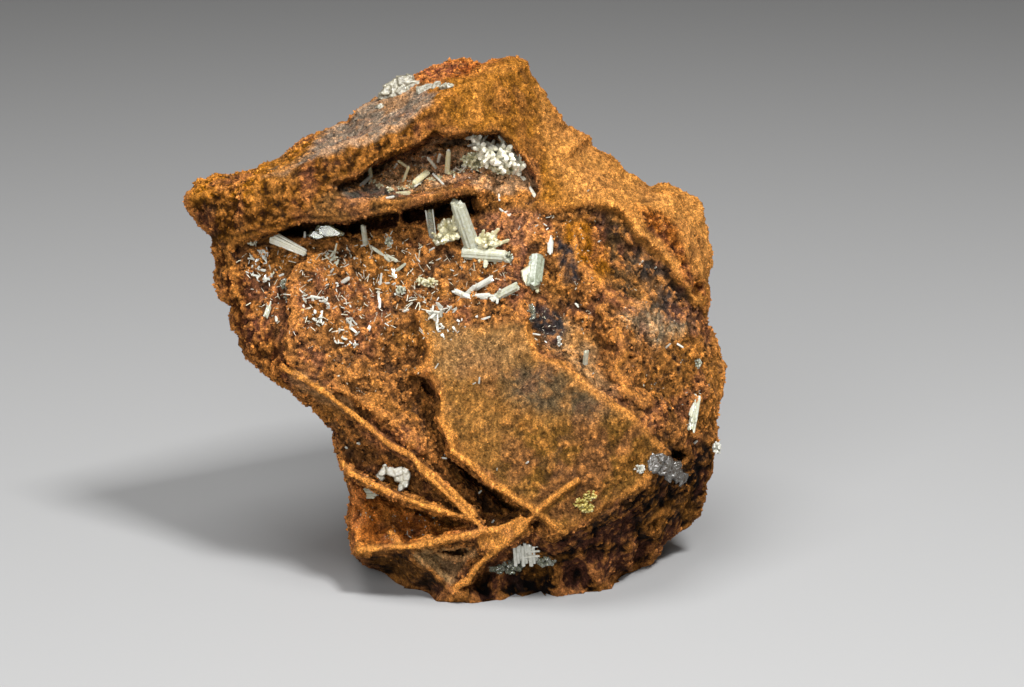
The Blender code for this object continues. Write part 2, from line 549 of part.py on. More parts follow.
def face_and_back():
    """The closed rough form: the face's broken surface, and rings that carry its outline back."""
    places, depths, edges, index = [], [], [], {}

    def place(column, row, depth):
        if (column, row) not in index:
            index[(column, row)] = len(places)
            places.append(Vector((column, row)))
            depths.append(depth)
        return index[(column, row)]

    loop = [place(*point) for point in OUTLINE]
    edges += list(zip(loop, loop[1:] + loop[:1]))
    for line in FACE_LINES.values():
        steps = [place(*point) for point in line]
        edges += list(zip(steps, steps[1:]))
    for spot in FACE_SPOTS:
        place(*spot)
    flat, _, triangles, sources, _, _ = delaunay_2d_cdt(places, edges, [], 1, 0.01)

    shape = bmesh.new()
    corners = []
    for spot, source in zip(flat, sources):
        if source:
            depth = depths[source[0]]
        else:
            near = sorted(range(len(places)), key=lambda n: (places[n] - spot).length)[:2]
            depth = sum(depths[n] for n in near) / 2
        corners.append(shape.verts.new(seen(spot.x, spot.y, depth)))
    rim = {source: corner for corner, sources_of in zip(corners, sources) for source in sources_of}
    for triangle in triangles:
        shape.faces.new([corners[n] for n in triangle])

    ring = [rim[n] for n in loop]
    for scale, back in RINGS:
        inner = []
        for column, row, depth in OUTLINE:
            inner.append(shape.verts.new(seen(
                MIDDLE[0] + (column - MIDDLE[0]) * scale,
                MIDDLE[1] + (row - MIDDLE[1]) * (scale if row < LEVEL_ROW else 1),
                min(back, depth - 2),
            )))
        for n in range(len(ring)):
            following = (n + 1) % len(ring)
            shape.faces.new((ring[n], ring[following], inner[following], inner[n]))
        ring = inner
    hub = shape.verts.new(seen(*MIDDLE, RINGS[-1][1]))
    for n in range(len(ring)):
        shape.faces.new((ring[n], ring[(n + 1) % len(ring)], hub))
    bmesh.ops.triangulate(shape, faces=shape.faces)
    bmesh.ops.recalc_face_normals(shape, faces=shape.faces)
    return from_bmesh("matrix", shape)


def septum(line, thickness, reach):
    """A thin wall whose lit edge follows the line, made of overlapping straight lengths."""
    away = (seen(EYE_COLUMN, EYE_ROW, -1) - seen(EYE_COLUMN, EYE_ROW, 0)).normalized()
    half = thickness * MM / 2
    lengths = []
    for start, end in zip(line, line[1:]):
        a, b = seen(*start), seen(*end)
        along = (b - a).normalized()
        side = along.cross(away).normalized() * half
        a, b = a - along * half, b + along * half
        points = [p + s for p in (a, b) for s in (side, -side)]
        points += [p + s * ROOT_SHARE + away * reach * MM for p in (a, b) for s in (side, -side)]
        lengths.append(hull("septum", points))
    return lengths


def hollow(mouth, back):
    """A cutter that enters at the mouth and narrows towards its back."""
    column = sum(point[0] for point in mouth) / len(mouth)
    row = sum(point[1] for point in mouth) / len(mouth)
    across, up = CUT_NARROWS
    front = [seen(c, r, CUT_FRONT) for c, r in mouth]
    end = [seen(column + (c - column) * across, row + (r - row) * up, back) for c, r in mouth]
    return hull("hollow", front + end)


def break_plane(point, facing):
    """A block that trims whatever lies beyond the plane."""
    shape = bmesh.new()
    bmesh.ops.create_cube(shape, size=BLOCK)
    turn = facing.normalized().to_track_quat("Z", "Y").to_matrix().to_4x4()
    shift = Matrix.Translation(point + facing.normalized() * BLOCK / 2)
    bmesh.ops.transform(shape, matrix=shift @ turn, verts=shape.verts)
    return from_bmesh("break", shape)


def weathering(thing, name, size, strength):
    """Roughens the surface with lumps of this size."""
    texture = bpy.data.textures.new(name, "CLOUDS")
    texture.noise_scale = size
    step = thing.modifiers.new(name, "DISPLACE")
    step.texture = texture
    step.texture_coords = "GLOBAL"
    step.strength = strength
    step.mid_level = 0.5


def make_stone():
    stone = face_and_back()
    combine(stone, [hollow(mouth, back) for mouth, back in HOLLOWS.values()], "DIFFERENCE")
    walls = [length for wall in SEPTA.values() for length in septum(*wall)]
    combine(stone, walls, "UNION")
    breaks = [break_plane(Vector(place) * MM, Vector(facing)) for place, facing in BACK_BREAKS]
    combine(stone, breaks, "DIFFERENCE")

    grain = stone.modifiers.new("grain", "REMESH")
    grain.mode = "VOXEL"
    grain.voxel_size = GRAIN
    weathering(stone, "lumps", *LUMPS)
    weathering(stone, "knobs", *KNOBS)
    settle(stone)

    keep = stone.vertex_groups.new(name="back")
    facing = (eye() - seen(EYE_COLUMN, EYE_ROW, 0)).normalized()
    for vertex in stone.data.vertices:
        keep.add([vertex.index], 1 if vertex.normal.dot(facing) < 0 else FRONT_WEIGHT, "REPLACE")
    thin = stone.modifiers.new("thin", "DECIMATE")
    thin.vertex_group = keep.name
    thin.ratio = STONE_TRIANGLES / (2 * len(stone.data.polygons))
    thin.use_collapse_triangulate = True
    settle(stone)
    stone.vertex_groups.clear()
    combine(stone, [break_plane(Vector((0, 0, 0)), Vector((0, 0, -1)))], "DIFFERENCE")
    return stone


def surface_depth(tree, column, row):
    """How far in front of the face's plane, in mm, the stone's surface is at this place."""
    start = eye()
    hit = tree.ray_cast(start, (seen(column, row, 0) - start).normalized())[0]
    middle = seen(EYE_COLUMN, EYE_ROW, 0)
    return (hit - middle).dot((start - middle).normalized()) / MM


def prism_corners(tree, form, extra):
    """A six-sided prism with a roof-shaped or broken end, `extra` larger all round."""
    depth = surface_depth(tree, *form["on"])
    base = seen(*form["base"], depth - SUNK)
    tip = seen(*form["tip"], depth + form["rise"])
    along = (tip - base).normalized()
    side = along.cross(eye() - base).normalized()
    out = side.cross(along)
    base, tip = base - along * extra, tip + along * extra
    rings = [(base, form["width"]), (tip, form["end"])]
    points = []
    if not form["blunt"]:
        roof = form["end"] * PIXEL * ROOF
        points += [tip + side * roof * ROOF_EDGE, tip - side * roof * ROOF_EDGE]
        rings[1] = (tip - along * roof, form["end"])
    for place, width in rings:
        half = width * PIXEL / 2
        for corner in range(6):
            turn = math.radians(60 * corner)
            points.append(
                place
                + side * math.cos(turn) * (half + extra)
                + out * math.sin(turn) * (half * form["flat"] + extra)
            )
    return points


def lump_corners(tree, form, extra):
    """A faceted lump with its own broken outline, `extra` larger all round."""
    draw = random.Random(round(form["middle"][0] * 10))
    depth = surface_depth(tree, *form["on"]) + form["stand"]
    middle = seen(*form["middle"], depth)
    toward = (eye() - middle).normalized()
    side = Vector((0, 0, 1)).cross(toward).normalized() * (form["half"][0] * PIXEL + extra)
    up = toward.cross(side).normalized() * (form["half"][1] * PIXEL + extra)
    deep = toward * (form["deep"] * MM + extra)
    points = []
    for lean, corners in LUMP_RINGS:
        for corner in range(corners):
            turn = math.radians(360 * corner / corners + draw.uniform(-LUMP_STRAY, LUMP_STRAY))
            points.append(
                middle
                + side * math.cos(turn) * math.cos(lean)
                + up * math.sin(turn) * math.cos(lean)
                + deep * math.sin(lean)
            )
    return points


def strip_corners(tree, form, extra):
    """One length of crust, `extra` larger all round."""
    places = [seen(*end, surface_depth(tree, *end)) for end in form["ends"]]
    along = (places[1] - places[0]).normalized()
    points = []
    for place, way in zip(places, (-1, 1)):
        toward = (eye() - place).normalized()
        side = along.cross(toward).normalized() * (form["width"] * PIXEL / 2 + extra)
        middle = place + along * way * (CRUST_OVERLAP * MM + extra)
        for height in (CRUST_STANDS * MM + extra, -form["deep"] * MM - extra):
            points += [middle + side + toward * height, middle - side + toward * height]
    return points


def crystal_hulls(name, tree, extra=0):
    """The convex solids that the node is made of."""
    groups = []
    for form in CRYSTALS[name]:
        if "base" in form:
            corners = prism_corners
        elif "ends" in form:
            corners = strip_corners
        else:
            corners = lump_corners
        groups.append(corners(tree, form, extra))
    if name in SPRAYS:
        groups = [[point for group in groups for point in group]]
    return [hull(name, group) for group in groups]


def stone_tree(stone):
    return BVHTree.FromObject(stone, bpy.context.evaluated_depsgraph_get())


def finish(name, colour, roughness):
    material = bpy.data.materials.new(name)
    material.use_nodes = True
    shader = material.node_tree.nodes["Principled BSDF"]
    shader.inputs["Base Color"].default_value = (*colour, 1)
    shader.inputs["Roughness"].default_value = roughness
    shader.inputs["Metallic"].default_value = 0
    return material


def main():
    for thing in list(bpy.data.objects):
        bpy.data.objects.remove(thing)

    stone = make_stone()
    tree = stone_tree(stone)
    sockets = []
    for name in CRYSTALS:
        parts = crystal_hulls(name, tree)
        crystal = parts[0]
        crystal.name = name
        if len(parts) > 1:
            combine(crystal, parts[1:], "UNION")
        colour = CALCITE if name.startswith("calcite") else ADAMITE
        crystal.data.materials.append(finish(name, colour, CRYSTAL_ROUGHNESS))
        sockets += crystal_hulls(name, tree, GAP)
    combine(stone, sockets, "DIFFERENCE")
    drop_crumbs(stone)
    stone.data.materials.append(finish("limonite", LIMONITE, STONE_ROUGHNESS))


main()
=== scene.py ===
import math
import random

import bmesh
import bpy
import numpy as np
from mathutils import Matrix, Vector, noise
from mathutils.bvhtree import BVHTree
from mathutils.geometry import delaunay_2d_cdt


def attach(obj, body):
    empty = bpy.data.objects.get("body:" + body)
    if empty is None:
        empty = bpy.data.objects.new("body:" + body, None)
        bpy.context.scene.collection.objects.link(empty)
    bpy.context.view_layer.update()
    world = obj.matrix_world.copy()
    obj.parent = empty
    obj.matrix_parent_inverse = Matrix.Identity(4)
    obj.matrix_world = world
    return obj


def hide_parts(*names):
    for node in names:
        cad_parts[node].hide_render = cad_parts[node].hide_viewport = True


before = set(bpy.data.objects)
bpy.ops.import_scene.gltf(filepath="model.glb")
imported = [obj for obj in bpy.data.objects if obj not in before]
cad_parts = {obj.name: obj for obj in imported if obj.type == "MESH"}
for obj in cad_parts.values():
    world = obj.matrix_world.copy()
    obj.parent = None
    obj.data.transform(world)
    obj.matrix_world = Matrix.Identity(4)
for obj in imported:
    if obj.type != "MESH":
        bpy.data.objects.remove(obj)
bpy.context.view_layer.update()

# THE STONE'S FORM
# The real piece is a broken lump of limonite, the rusty iron ore left where other minerals have
# weathered away. It is one piece, split from a vein, with thin walls of an old boxwork on its face.
# Columns and rows are those its viewer sees, and depths are in mm towards the viewer.

MM = 0.001
STONE_WIDTH = 67.3 * MM
WIDTH_COLUMNS = (187, 725)
PIXEL = STONE_WIDTH / (WIDTH_COLUMNS[1] - WIDTH_COLUMNS[0])
FOOT_COLUMN, FOOT_ROW = 456, 604
EYE_COLUMN, EYE_ROW = 512, 343.5
EYE_DISTANCE = 420 * MM
EYE_ELEVATION = math.radians(15)
STAND_Y = -19.1 * MM

# How the outline narrows behind the face, towards a hub: its scale, and the depth in mm it narrows at.
# Below the straight row its sides run straight back.
RINGS = [(0.985, -16), (0.95, -26), (0.88, -36), (0.8, -48)]
HUB_COLUMN, HUB_ROW, STRAIGHT_ROW = 470, 330, 480

# The outline of the stone, clockwise from the left tip.
OUTLINE = [
    (187, 203, -2), (198, 182, -3), (214, 175, -4), (244, 174, -5), (259, 168, -5), (281, 160, -5),
    (305, 138, -8), (329, 129, -9), (348, 123, -9), (357, 107, -10), (377, 97, -11), (396, 82, -11),
    (410, 68, -12), (429, 62, -12), (462, 59, -11), (477, 64, -9), (503, 60, -7), (514, 58, -7),
    (527, 62, -8), (529, 73, -8), (544, 92, -8), (555, 112, -8), (566, 127, -9), (588, 138, -10),
    (588, 147, -10), (610, 158, -10), (625, 173, -10), (651, 187, -11), (669, 182, -12),
    (688, 192, -13), (708, 203, -14), (714, 221, -14), (719, 242, -14), (716, 262, -14),
    (708, 280, -13), (708, 314, -13), (705, 329, -12), (716, 351, -11), (725, 373, -11),
    (725, 395, -12), (717, 414, -12), (717, 432, -13), (724, 451, -14), (722, 480, -15),
    (714, 499, -16), (699, 517, -16), (680, 528, -16), (658, 547, -16), (647, 569, -17),
    (629, 577, -13), (618, 592, -8), (600, 601, -5), (560, 608, -3), (500, 612, -1), (430, 612, -2),
    (406, 603, -5), (392, 590, -8), (388, 576, -9), (362, 562, -6), (355, 547, -3), (351, 525, -3),
    (353, 491, -3), (348, 473, -3), (340, 458, -3), (336, 432, -4), (323, 414, -3), (299, 395, -2),
    (270, 373, -2), (249, 354, -3), (240, 336, -4), (233, 321, -4), (236, 303, -4), (220, 297, -4),
    (216, 277, -4), (218, 262, -4), (212, 236, -4), (195, 221, -3),
]

# The bent edges of the face, each a line that the surface breaks along.
FACE_LINES = {
    "slab crest": [
        (201, 192, -0.5), (225, 185, 1), (262, 177, 2.5), (311, 160, 3.5), (335, 149, 3.5),
        (371, 139, 3.5), (397, 127, 3), (420, 111, 2.5), (444, 97, 2), (458, 87, 1), (490, 76, -1),
        (515, 68, -4),
    ],
    "slab back edge": [
        (281, 164, -3), (309, 143, -6), (347, 130, -7), (362, 110, -8), (400, 88, -9),
        (432, 70, -9.5), (462, 66, -8.5),
    ],
    "slab foot and shelf edge": [
        (217, 236, -1.5), (236, 240, 1), (264, 233, 3), (285, 227, 4), (303, 222, 4.5),
        (346, 224, 4.5), (368, 220, 4), (400, 211, 3), (434, 204, 2), (455, 197, 1), (470, 192, 0.5),
        (482, 190, -1),
    ],
    "shelf top": [
        (330, 195, 5), (347, 199, 5), (374, 199, 4.5), (400, 201, 4), (440, 193, 3),
        (464, 187, 1.5), (480, 186, -1),
    ],
    "shelf inner edge": [(338, 191, 1), (374, 194, -1), (400, 195, -2), (440, 187, -3), (470, 180, -4)],
    "hollow roof lip": [
        (331, 182, 4.5), (356, 175, 4), (368, 165, 3.5), (392, 151, 3), (420, 141, 2),
        (434, 130, 1.5), (448, 134, 1.5), (470, 131, 1), (500, 130, 0), (513, 141, -1),
        (525, 158, -1.5), (537, 175, -2), (541, 191, -2), (533, 204, -2.5),
    ],
    "hollow roof foot": [
        (340, 185, -1), (358, 179, -5), (370, 169, -6), (394, 155, -8), (422, 145, -9),
        (440, 139, -9), (470, 136, -8), (498, 135, -7), (508, 145, -6.5), (520, 160, -6),
        (532, 177, -5), (536, 191, -4.5), (529, 201, -3.5),
    ],
    "slot sill": [
        (240, 246, -1), (270, 239, -2), (299, 238, -2.5), (346, 235, -3), (368, 231, -3.5),
        (400, 224, -4), (423, 220, -4), (449, 218, -4.5), (480, 214, -4), (497, 208, -3.5),
        (520, 208, -2.8),
    ],
    "step top": [(312, 260, 0.8), (293, 277, 1.3), (294, 314, 2.5), (289, 350, 2.8), (299, 376, 3)],
    "step foot": [(306, 258, -0.8), (288, 278, -0.8), (289, 314, -0.5), (283, 346, 0.5), (286, 371, 1.5)],
    "left shoulder": [(228, 250, -1), (232, 275, -1), (238, 296, -1.5), (250, 318, -1), (256, 338, -1)],
    "plate left top": [
        (424, 308, 0.5), (417, 314, 1.2), (422, 326, 1.8), (430, 350, 2.8), (426, 365, 3),
        (411, 373, 2), (432, 377, 3.5), (441, 398, 4.3), (441, 421, 4.8), (452, 434, 5.5),
    ],
    "plate left foot": [
        (413, 314, -0.8), (417, 327, -0.8), (425, 350, -0.5), (420, 362, 0), (406, 376, 0),
        (428, 383, -2.5), (435, 400, -3), (434, 421, -1.5), (445, 437, -1.5),
    ],
    "plate right top": [
        (527, 322, 2.5), (532, 343, 3.8), (537, 356, 4.3), (569, 367, 5), (584, 382, 5.5),
        (604, 400, 6), (628, 413, 6), (645, 430, 5), (660, 447, 2.5),
    ],
    "plate right foot": [
        (532, 320, 1.2), (537, 342, 1.8), (542, 352, 2.3), (572, 363, 3), (588, 379, 3.5),
        (608, 397, 4), (632, 409, 4),
    ],
    "plate edge top": [
        (452, 434, 5.5), (454, 452, 5.4), (471, 464, 5.8), (488, 481, 6.1), (504, 490, 6.3),
        (521, 502, 6.5), (536, 512, 6.6), (549, 523, 6.1), (560, 532, 5.3),
    ],
    "plate edge foot": [
        (445, 437, -1.5), (449, 455, -3), (467, 468, -4), (484, 485, -4.5), (500, 494, -4),
        (517, 507, -3), (531, 517, 0),
    ],
    "face foot edge": [
        (560, 532, 5.3), (576, 525, 6), (595, 513, 6), (617, 500, 5.5), (640, 484, 4.5),
        (652, 474, 2.5),
    ],
    "crest ridge": [
        (575, 240, -0.5), (578, 259, 0.3), (588, 270, 1), (603, 281, 1.3), (607, 292, 1.6),
        (619, 299, 1.3), (638, 306, 0.8),
    ],
    "crest foot": [(586, 262, -0.8), (598, 272, -0.5), (612, 284, -0.4), (628, 296, -0.5)],
    "ear top": [
        (598, 310, 2.6), (605, 315, 3.2), (619, 329, 3.8), (624, 346, 3.8), (628, 355, 3.3),
        (616, 367, 3.5), (624, 388, 4.8), (640, 398, 4),
    ],
    "ear foot": [(592, 312, 0.6), (594, 328, 0.6), (598, 345, 1), (604, 362, 1.6)],
    "shoulder edge": [
        (541, 206, -1.2), (565, 207, -1.2), (589, 201, -1.6), (620, 206, -2), (633, 219, -2.2),
        (640, 235, -2.2), (661, 250, -2.6), (675, 270, -3.2), (689, 288, -4.2), (698, 302, -5.2),
    ],
    "shoulder foot": [
        (541, 212, -2.2), (565, 213, -2.4), (587, 208, -2.6), (616, 213, -3.2), (627, 224, -3.4),
        (634, 240, -3.6), (655, 256, -4), (669, 275, -4.6), (683, 293, -5.4), (692, 307, -6.2),
        (700, 324, -7.5),
    ],
    "bottom block edge": [(358, 549, 0.5), (393, 545, 1.5), (433, 540, 2.5), (477, 530, 3.5)],
    "facet edge": [(412, 550, 1.5), (430, 569, 0.5), (446, 588, 0.5)],
    "right blade": [(661, 514, -6.6), (657, 540, -9.2), (649, 563, -13.5)],
    "lower blade": [(630, 524, -2.6), (631, 548, -4.2), (630, 570, -8)],
    "lower blade foot": [(636, 526, -6.5), (636, 548, -9.5), (634, 566, -12.5)],
    "pale rib": [(577, 553, -0.3), (588, 568, -2), (600, 582, -3.6)],
}

# Single places on the face, between those lines.
FACE_SPOTS = [
    (250, 200, 4), (290, 190, 5), (310, 205, 5.5), (240, 220, 2.5), (280, 212, 4.5), (355, 160, 4),
    (400, 140, 3.5), (335, 168, 4.5), (470, 108, 1), (505, 100, -1), (530, 122, -3), (520, 85, -4),
    (545, 150, -3.3), (556, 180, -2.3), (480, 122, 0.8), (410, 100, -4), (370, 122, -3),
    (320, 148, -2), (460, 76, -5),
    (400, 178, -5), (430, 165, -7), (460, 160, -7.5), (495, 160, -6.5), (515, 182, -4.5),
    (495, 195, -3.8), (470, 170, -6.5), (445, 178, -5),
    (262, 262, -0.5), (262, 290, -1.4), (275, 318, -1.2), (262, 345, -0.6), (340, 262, -1.2),
    (380, 262, -2), (420, 250, -3), (450, 255, -3), (480, 270, -2), (520, 255, -1.5),
    (545, 226, -1.6), (340, 300, 1), (380, 310, 0.5), (415, 292, -0.4), (330, 350, 2.4),
    (370, 360, 1.6), (398, 335, 0.2), (350, 395, 3.9), (388, 404, 3), (400, 428, 4.2), (376, 412, 4.1),
    (416, 444, 3.9), (430, 452, 2.6), (465, 300, 0.8), (500, 285, 0.3), (520, 300, 1),
    (470, 340, 3.2), (505, 350, 3.6), (480, 390, 5), (525, 400, 5.6), (565, 405, 5.6),
    (500, 440, 6.5), (545, 450, 7), (585, 440, 7), (612, 440, 6), (560, 480, 8), (600, 480, 7.3),
    (622, 462, 6.4), (480, 430, 6), (540, 495, 7),
    (548, 322, 0.6), (562, 300, -0.4), (572, 340, 1.3), (590, 362, 2), (612, 382, 2.8),
    (545, 265, -1.4), (556, 280, -1), (600, 230, -3), (632, 255, -3.6), (622, 280, -2.2),
    (660, 292, -4.2), (682, 318, -5.4), (652, 330, -1.6), (692, 352, -5.4), (662, 370, -1.8),
    (642, 362, 0.6), (642, 385, 1.4), (672, 400, -2), (560, 225, -2.4),
    (560, 165, -3), (600, 182, -4), (642, 205, -4.5), (670, 205, -7), (690, 228, -8.5),
    (702, 260, -10), (697, 290, -9), (575, 145, -6), (655, 225, -4.4), (680, 255, -5.6),
    (682, 402, -3.4), (702, 395, -6), (690, 430, -5), (665, 440, -0.5), (706, 440, -9),
    (675, 456, -4), (702, 462, -10), (668, 482, -4), (700, 345, -7.5), (712, 385, -8),
    (662, 502, -7), (692, 490, -12), (642, 522, -5), (612, 530, -0.5), (592, 552, -2),
    (620, 560, -5.5), (643, 545, -10), (653, 522, -9), (685, 510, -14), (580, 540, 1),
    (605, 560, -2.5),
    (350, 446, -3.5), (375, 463, -2.5), (400, 482, -3.5), (430, 500, -3), (365, 440, -1),
    (452, 480, 2.2), (470, 497, 1.2), (486, 514, -1), (505, 517, -4), (444, 466, 2), (530, 530, 1),
    (362, 490, -4), (390, 506, -6), (430, 524, -6), (460, 530, -4), (365, 512, -2.5),
    (385, 527, -3), (412, 536, -3), (440, 535, -2.5), (356, 532, -1.5),
    (364, 560, -4), (395, 562, -5), (408, 585, -6), (430, 590, -5), (448, 566, -2),
    (432, 556, -1.5), (462, 566, -2.5), (480, 585, -5), (500, 566, -3), (530, 560, -2.5),
    (556, 560, -1.5), (530, 588, -6), (580, 575, -5), (575, 545, 1.5), (510, 545, 1),
    (545, 545, 2),
]

# Thin septa of the boxwork: their lit edges, their thickness and how far back they run, in mm.
SEPTA = {
    "long septum": ([
        (284, 368, 2.6), (299, 376, 3), (329, 396, 3.6), (362, 421, 4), (388, 444, 4.5),
        (412, 456, 4.4), (421, 471, 4.4), (436, 484, 4.4), (462, 509, 4.4), (485, 531, 4.8),
    ], 0.95, 5, 0.4),
    "second edge": ([(418, 463, 4), (438, 478, 3.6), (455, 493, 3.6), (474, 513, 4)], 0.5, 4, 0.8),
    "left septum": ([
        (342, 462, -0.5), (350, 473, 1.2), (371, 484, 2.4), (396, 496, 3), (424, 506, 3.6),
        (442, 511, 4), (470, 519, 4.2),
    ], 0.7, 6, 0.7),
    "level septum": ([
        (358, 552, 0.5), (393, 547, 2.4), (412, 547, 3), (433, 543, 3.6), (455, 538, 4),
        (478, 533, 4.5), (503, 528, 5), (521, 520, 5.6),
    ], 0.5, 6, 2.4),
    "crossing septum": ([
        (454, 588, 0.4), (468, 580, 1.5), (478, 566, 2.6), (492, 553, 3.8), (506, 542, 4.8),
        (521, 530, 5.6), (536, 512, 6.8), (560, 493, 8.2), (577, 481, 8.6),
    ], 0.75, 6),
    "crossing web": ([(486, 541, 4), (502, 535, 4.7), (520, 526, 5.4)], 2.2, 4),
    "plate edge": ([
        (441, 421, 4.8), (450, 436, 5.5), (453, 452, 5.6), (471, 464, 6), (488, 481, 6.3),
        (504, 490, 6.5), (521, 502, 6.7), (536, 512, 6.8), (549, 523, 6.3), (566, 533, 5.5),
    ], 1.1, 5, 0.4),
    "knob wall": ([(390, 533, 0), (398, 541, 1), (402, 548, 2)], 0.8, 3),
}

# Dark hollows between the septa and under the shelf: their mouths, and how far back they reach. Each
# is cut from in front of the face, and narrows to these shares of its width and height.
HOLLOW_FRONT, HOLLOW_END_WIDTH, HOLLOW_END_HEIGHT = 12, 0.85, 0.8
HOLLOWS = {
    "slot left": ([(262, 238), (285, 225), (303, 220), (352, 221), (352, 238), (300, 241)], -13),
    "slot middle": ([(345, 221), (370, 217), (402, 208), (402, 228), (368, 235), (345, 238)], -15),
    "slot right": ([
        (398, 209), (430, 202), (462, 193), (480, 191), (483, 216), (450, 221), (423, 224), (398, 228),
    ], -16),
    "roof left": ([(352, 179), (370, 168), (394, 154), (422, 144), (432, 150), (380, 176)], -12),
    "roof right": ([
        (420, 144), (436, 137), (470, 135), (500, 134), (512, 146), (470, 150), (425, 152),
    ], -12),
    "boxwork cell": ([
        (449, 460), (456, 457), (474, 469), (503, 492), (529, 515), (514, 521), (496, 508),
        (472, 486), (452, 467),
    ], -9),
    "left cell": ([(357, 482), (396, 500), (440, 515), (476, 529), (456, 533), (425, 520), (380, 502)], -9),
    "small cell": ([(424, 549), (455, 545), (480, 543), (476, 551), (466, 560), (448, 557)], -7),
    "plate hole": ([(414, 379), (428, 379), (438, 392), (439, 409), (430, 404), (420, 390)], -6),
    "ear notch": ([(591, 310), (597, 310), (598, 324), (592, 326)], -4),
    "ear pit": ([(625, 353), (638, 355), (637, 362), (628, 362)], -3),
    "corner pit": ([(668, 447), (684, 446), (691, 455), (681, 465), (670, 462)], -10),
    "brow pit": ([(312, 192), (321, 193), (319, 198), (309, 198)], 1),
}

# Broken planes that trim the back: a place on each in mm, and the way it faces.
BACK_BREAKS = [
    ((0, 20, 30), (-0.12, 1, 0.1)),
    ((20, 16, 50), (0.75, 0.8, 0.7)),
    ((-12, 13, 50), (-0.65, 0.9, 0.75)),
    ((22, 15, 24), (1, 0.75, -0.15)),
    ((-18, 12, 26), (-1, 0.8, -0.3)),
    ((3, 18, 9), (0.15, 1, -0.5)),
    ((2, 14, 62), (0.1, 0.55, 1)),
    ((-9, 20, 16), (-0.5, 1, -0.2)),
    ((35, 6, 42), (1, 0.25, 0.35)),
]


def seen(column, row, depth):
    """The place that the viewer sees at this column and row, depth mm in front of the face."""
    forward = depth * MM
    spread = (EYE_DISTANCE - forward) / EYE_DISTANCE
    across = (EYE_COLUMN - FOOT_COLUMN + (column - EYE_COLUMN) * spread) * PIXEL
    up = (FOOT_ROW - EYE_ROW + (EYE_ROW - row) * spread) * PIXEL
    sine, cosine = math.sin(EYE_ELEVATION), math.cos(EYE_ELEVATION)
    return Vector((across, up * sine - forward * cosine + STAND_Y, up * cosine + forward * sine))


EYE = seen(EYE_COLUMN, EYE_ROW, EYE_DISTANCE / MM)


def add_object(name, data):
    thing = bpy.data.objects.new(name, data)
    bpy.context.scene.collection.objects.link(thing)
    return thing


def from_bmesh(name, shape):
    mesh = bpy.data.meshes.new(name)
    shape.to_mesh(mesh)
    shape.free()
    return add_object(name, mesh)


def wrap(shape, corners):
    """Closes the smallest convex skin round these corners of the shape."""
    made = bmesh.ops.convex_hull(shape, input=corners)
    bmesh.ops.delete(shape, geom=list(set(made["geom_interior"] + made["geom_unused"])), context="VERTS")


def hull(name, points):
    """The convex solid round these points."""
    shape = bmesh.new()
    wrap(shape, [shape.verts.new(point) for point in points])
    bmesh.ops.recalc_face_normals(shape, faces=shape.faces)
    return from_bmesh(name, shape)


def settle(thing):
    """Makes what the object's modifiers show its own mesh."""
    graph = bpy.context.evaluated_depsgraph_get()
    mesh = bpy.data.meshes.new_from_object(thing.evaluated_get(graph))
    thing.modifiers.clear()
    thing.data = mesh


def combine(thing, others, operation):
    """Cuts the other objects from this one, or joins them to it, and removes them."""
    group = bpy.data.collections.new("operands")
    bpy.context.scene.collection.children.link(group)
    for other in others:
        bpy.context.scene.collection.objects.unlink(other)
        group.objects.link(other)
    step = thing.modifiers.new("combine", "BOOLEAN")
    step.operation = operation
    step.solver = "EXACT"
    step.operand_type = "COLLECTION"
    step.collection = group
    settle(thing)
    for other in others:
        bpy.data.objects.remove(other)
    bpy.data.collections.remove(group)


def face_and_back():
    """The closed rough form: the face's broken surface, and rings that carry its outline back."""
    places, depths, edges, index = [], [], [], {}

    def place(column, row, depth):
        if (column, row) not in index:
            index[(column, row)] = len(places)
            places.append(Vector((column, row)))
            depths.append(depth)
        return index[(column, row)]

    loop = [place(*point) for point in OUTLINE]
    edges += list(zip(loop, loop[1:] + loop[:1]))
    for line in FACE_LINES.values():
        steps = [place(*point) for point in line]
        edges += list(zip(steps, steps[1:]))
    for spot in FACE_SPOTS:
        place(*spot)
    flat, _, triangles, sources, _, _ = delaunay_2d_cdt(places, edges, [], 1, 0.01)

    shape = bmesh.new()
    corners = []
    for spot, source in zip(flat, sources):
        if source:
            depth = depths[source[0]]
        else:
            near = sorted(range(len(places)), key=lambda n: (places[n] - spot).length)[:2]
            depth = sum(depths[n] for n in near) / 2
        corners.append(shape.verts.new(seen(spot.x, spot.y, depth)))
    rim = {source: corner for corner, sources_of in zip(corners, sources) for source in sources_of}
    for triangle in triangles:
        shape.faces.new([corners[n] for n in triangle])

    ring = [rim[n] for n in loop]
    for scale, back in RINGS:
        inner = []
        for column, row, depth in OUTLINE:
            inner.append(shape.verts.new(seen(
                HUB_COLUMN + (column - HUB_COLUMN) * scale,
                HUB_ROW + (row - HUB_ROW) * (scale if row < STRAIGHT_ROW else 1),
                min(back, depth - 2),
            )))
        for n in range(len(ring)):
            following = (n + 1) % len(ring)
            shape.faces.new((ring[n], ring[following], inner[following], inner[n]))
        ring = inner
    hub = shape.verts.new(seen(HUB_COLUMN, HUB_ROW, RINGS[-1][1]))
    for n in range(len(ring)):
        shape.faces.new((ring[n], ring[(n + 1) % len(ring)], hub))
    bmesh.ops.triangulate(shape, faces=shape.faces)
    bmesh.ops.recalc_face_normals(shape, faces=shape.faces)
    return from_bmesh("matrix", shape)


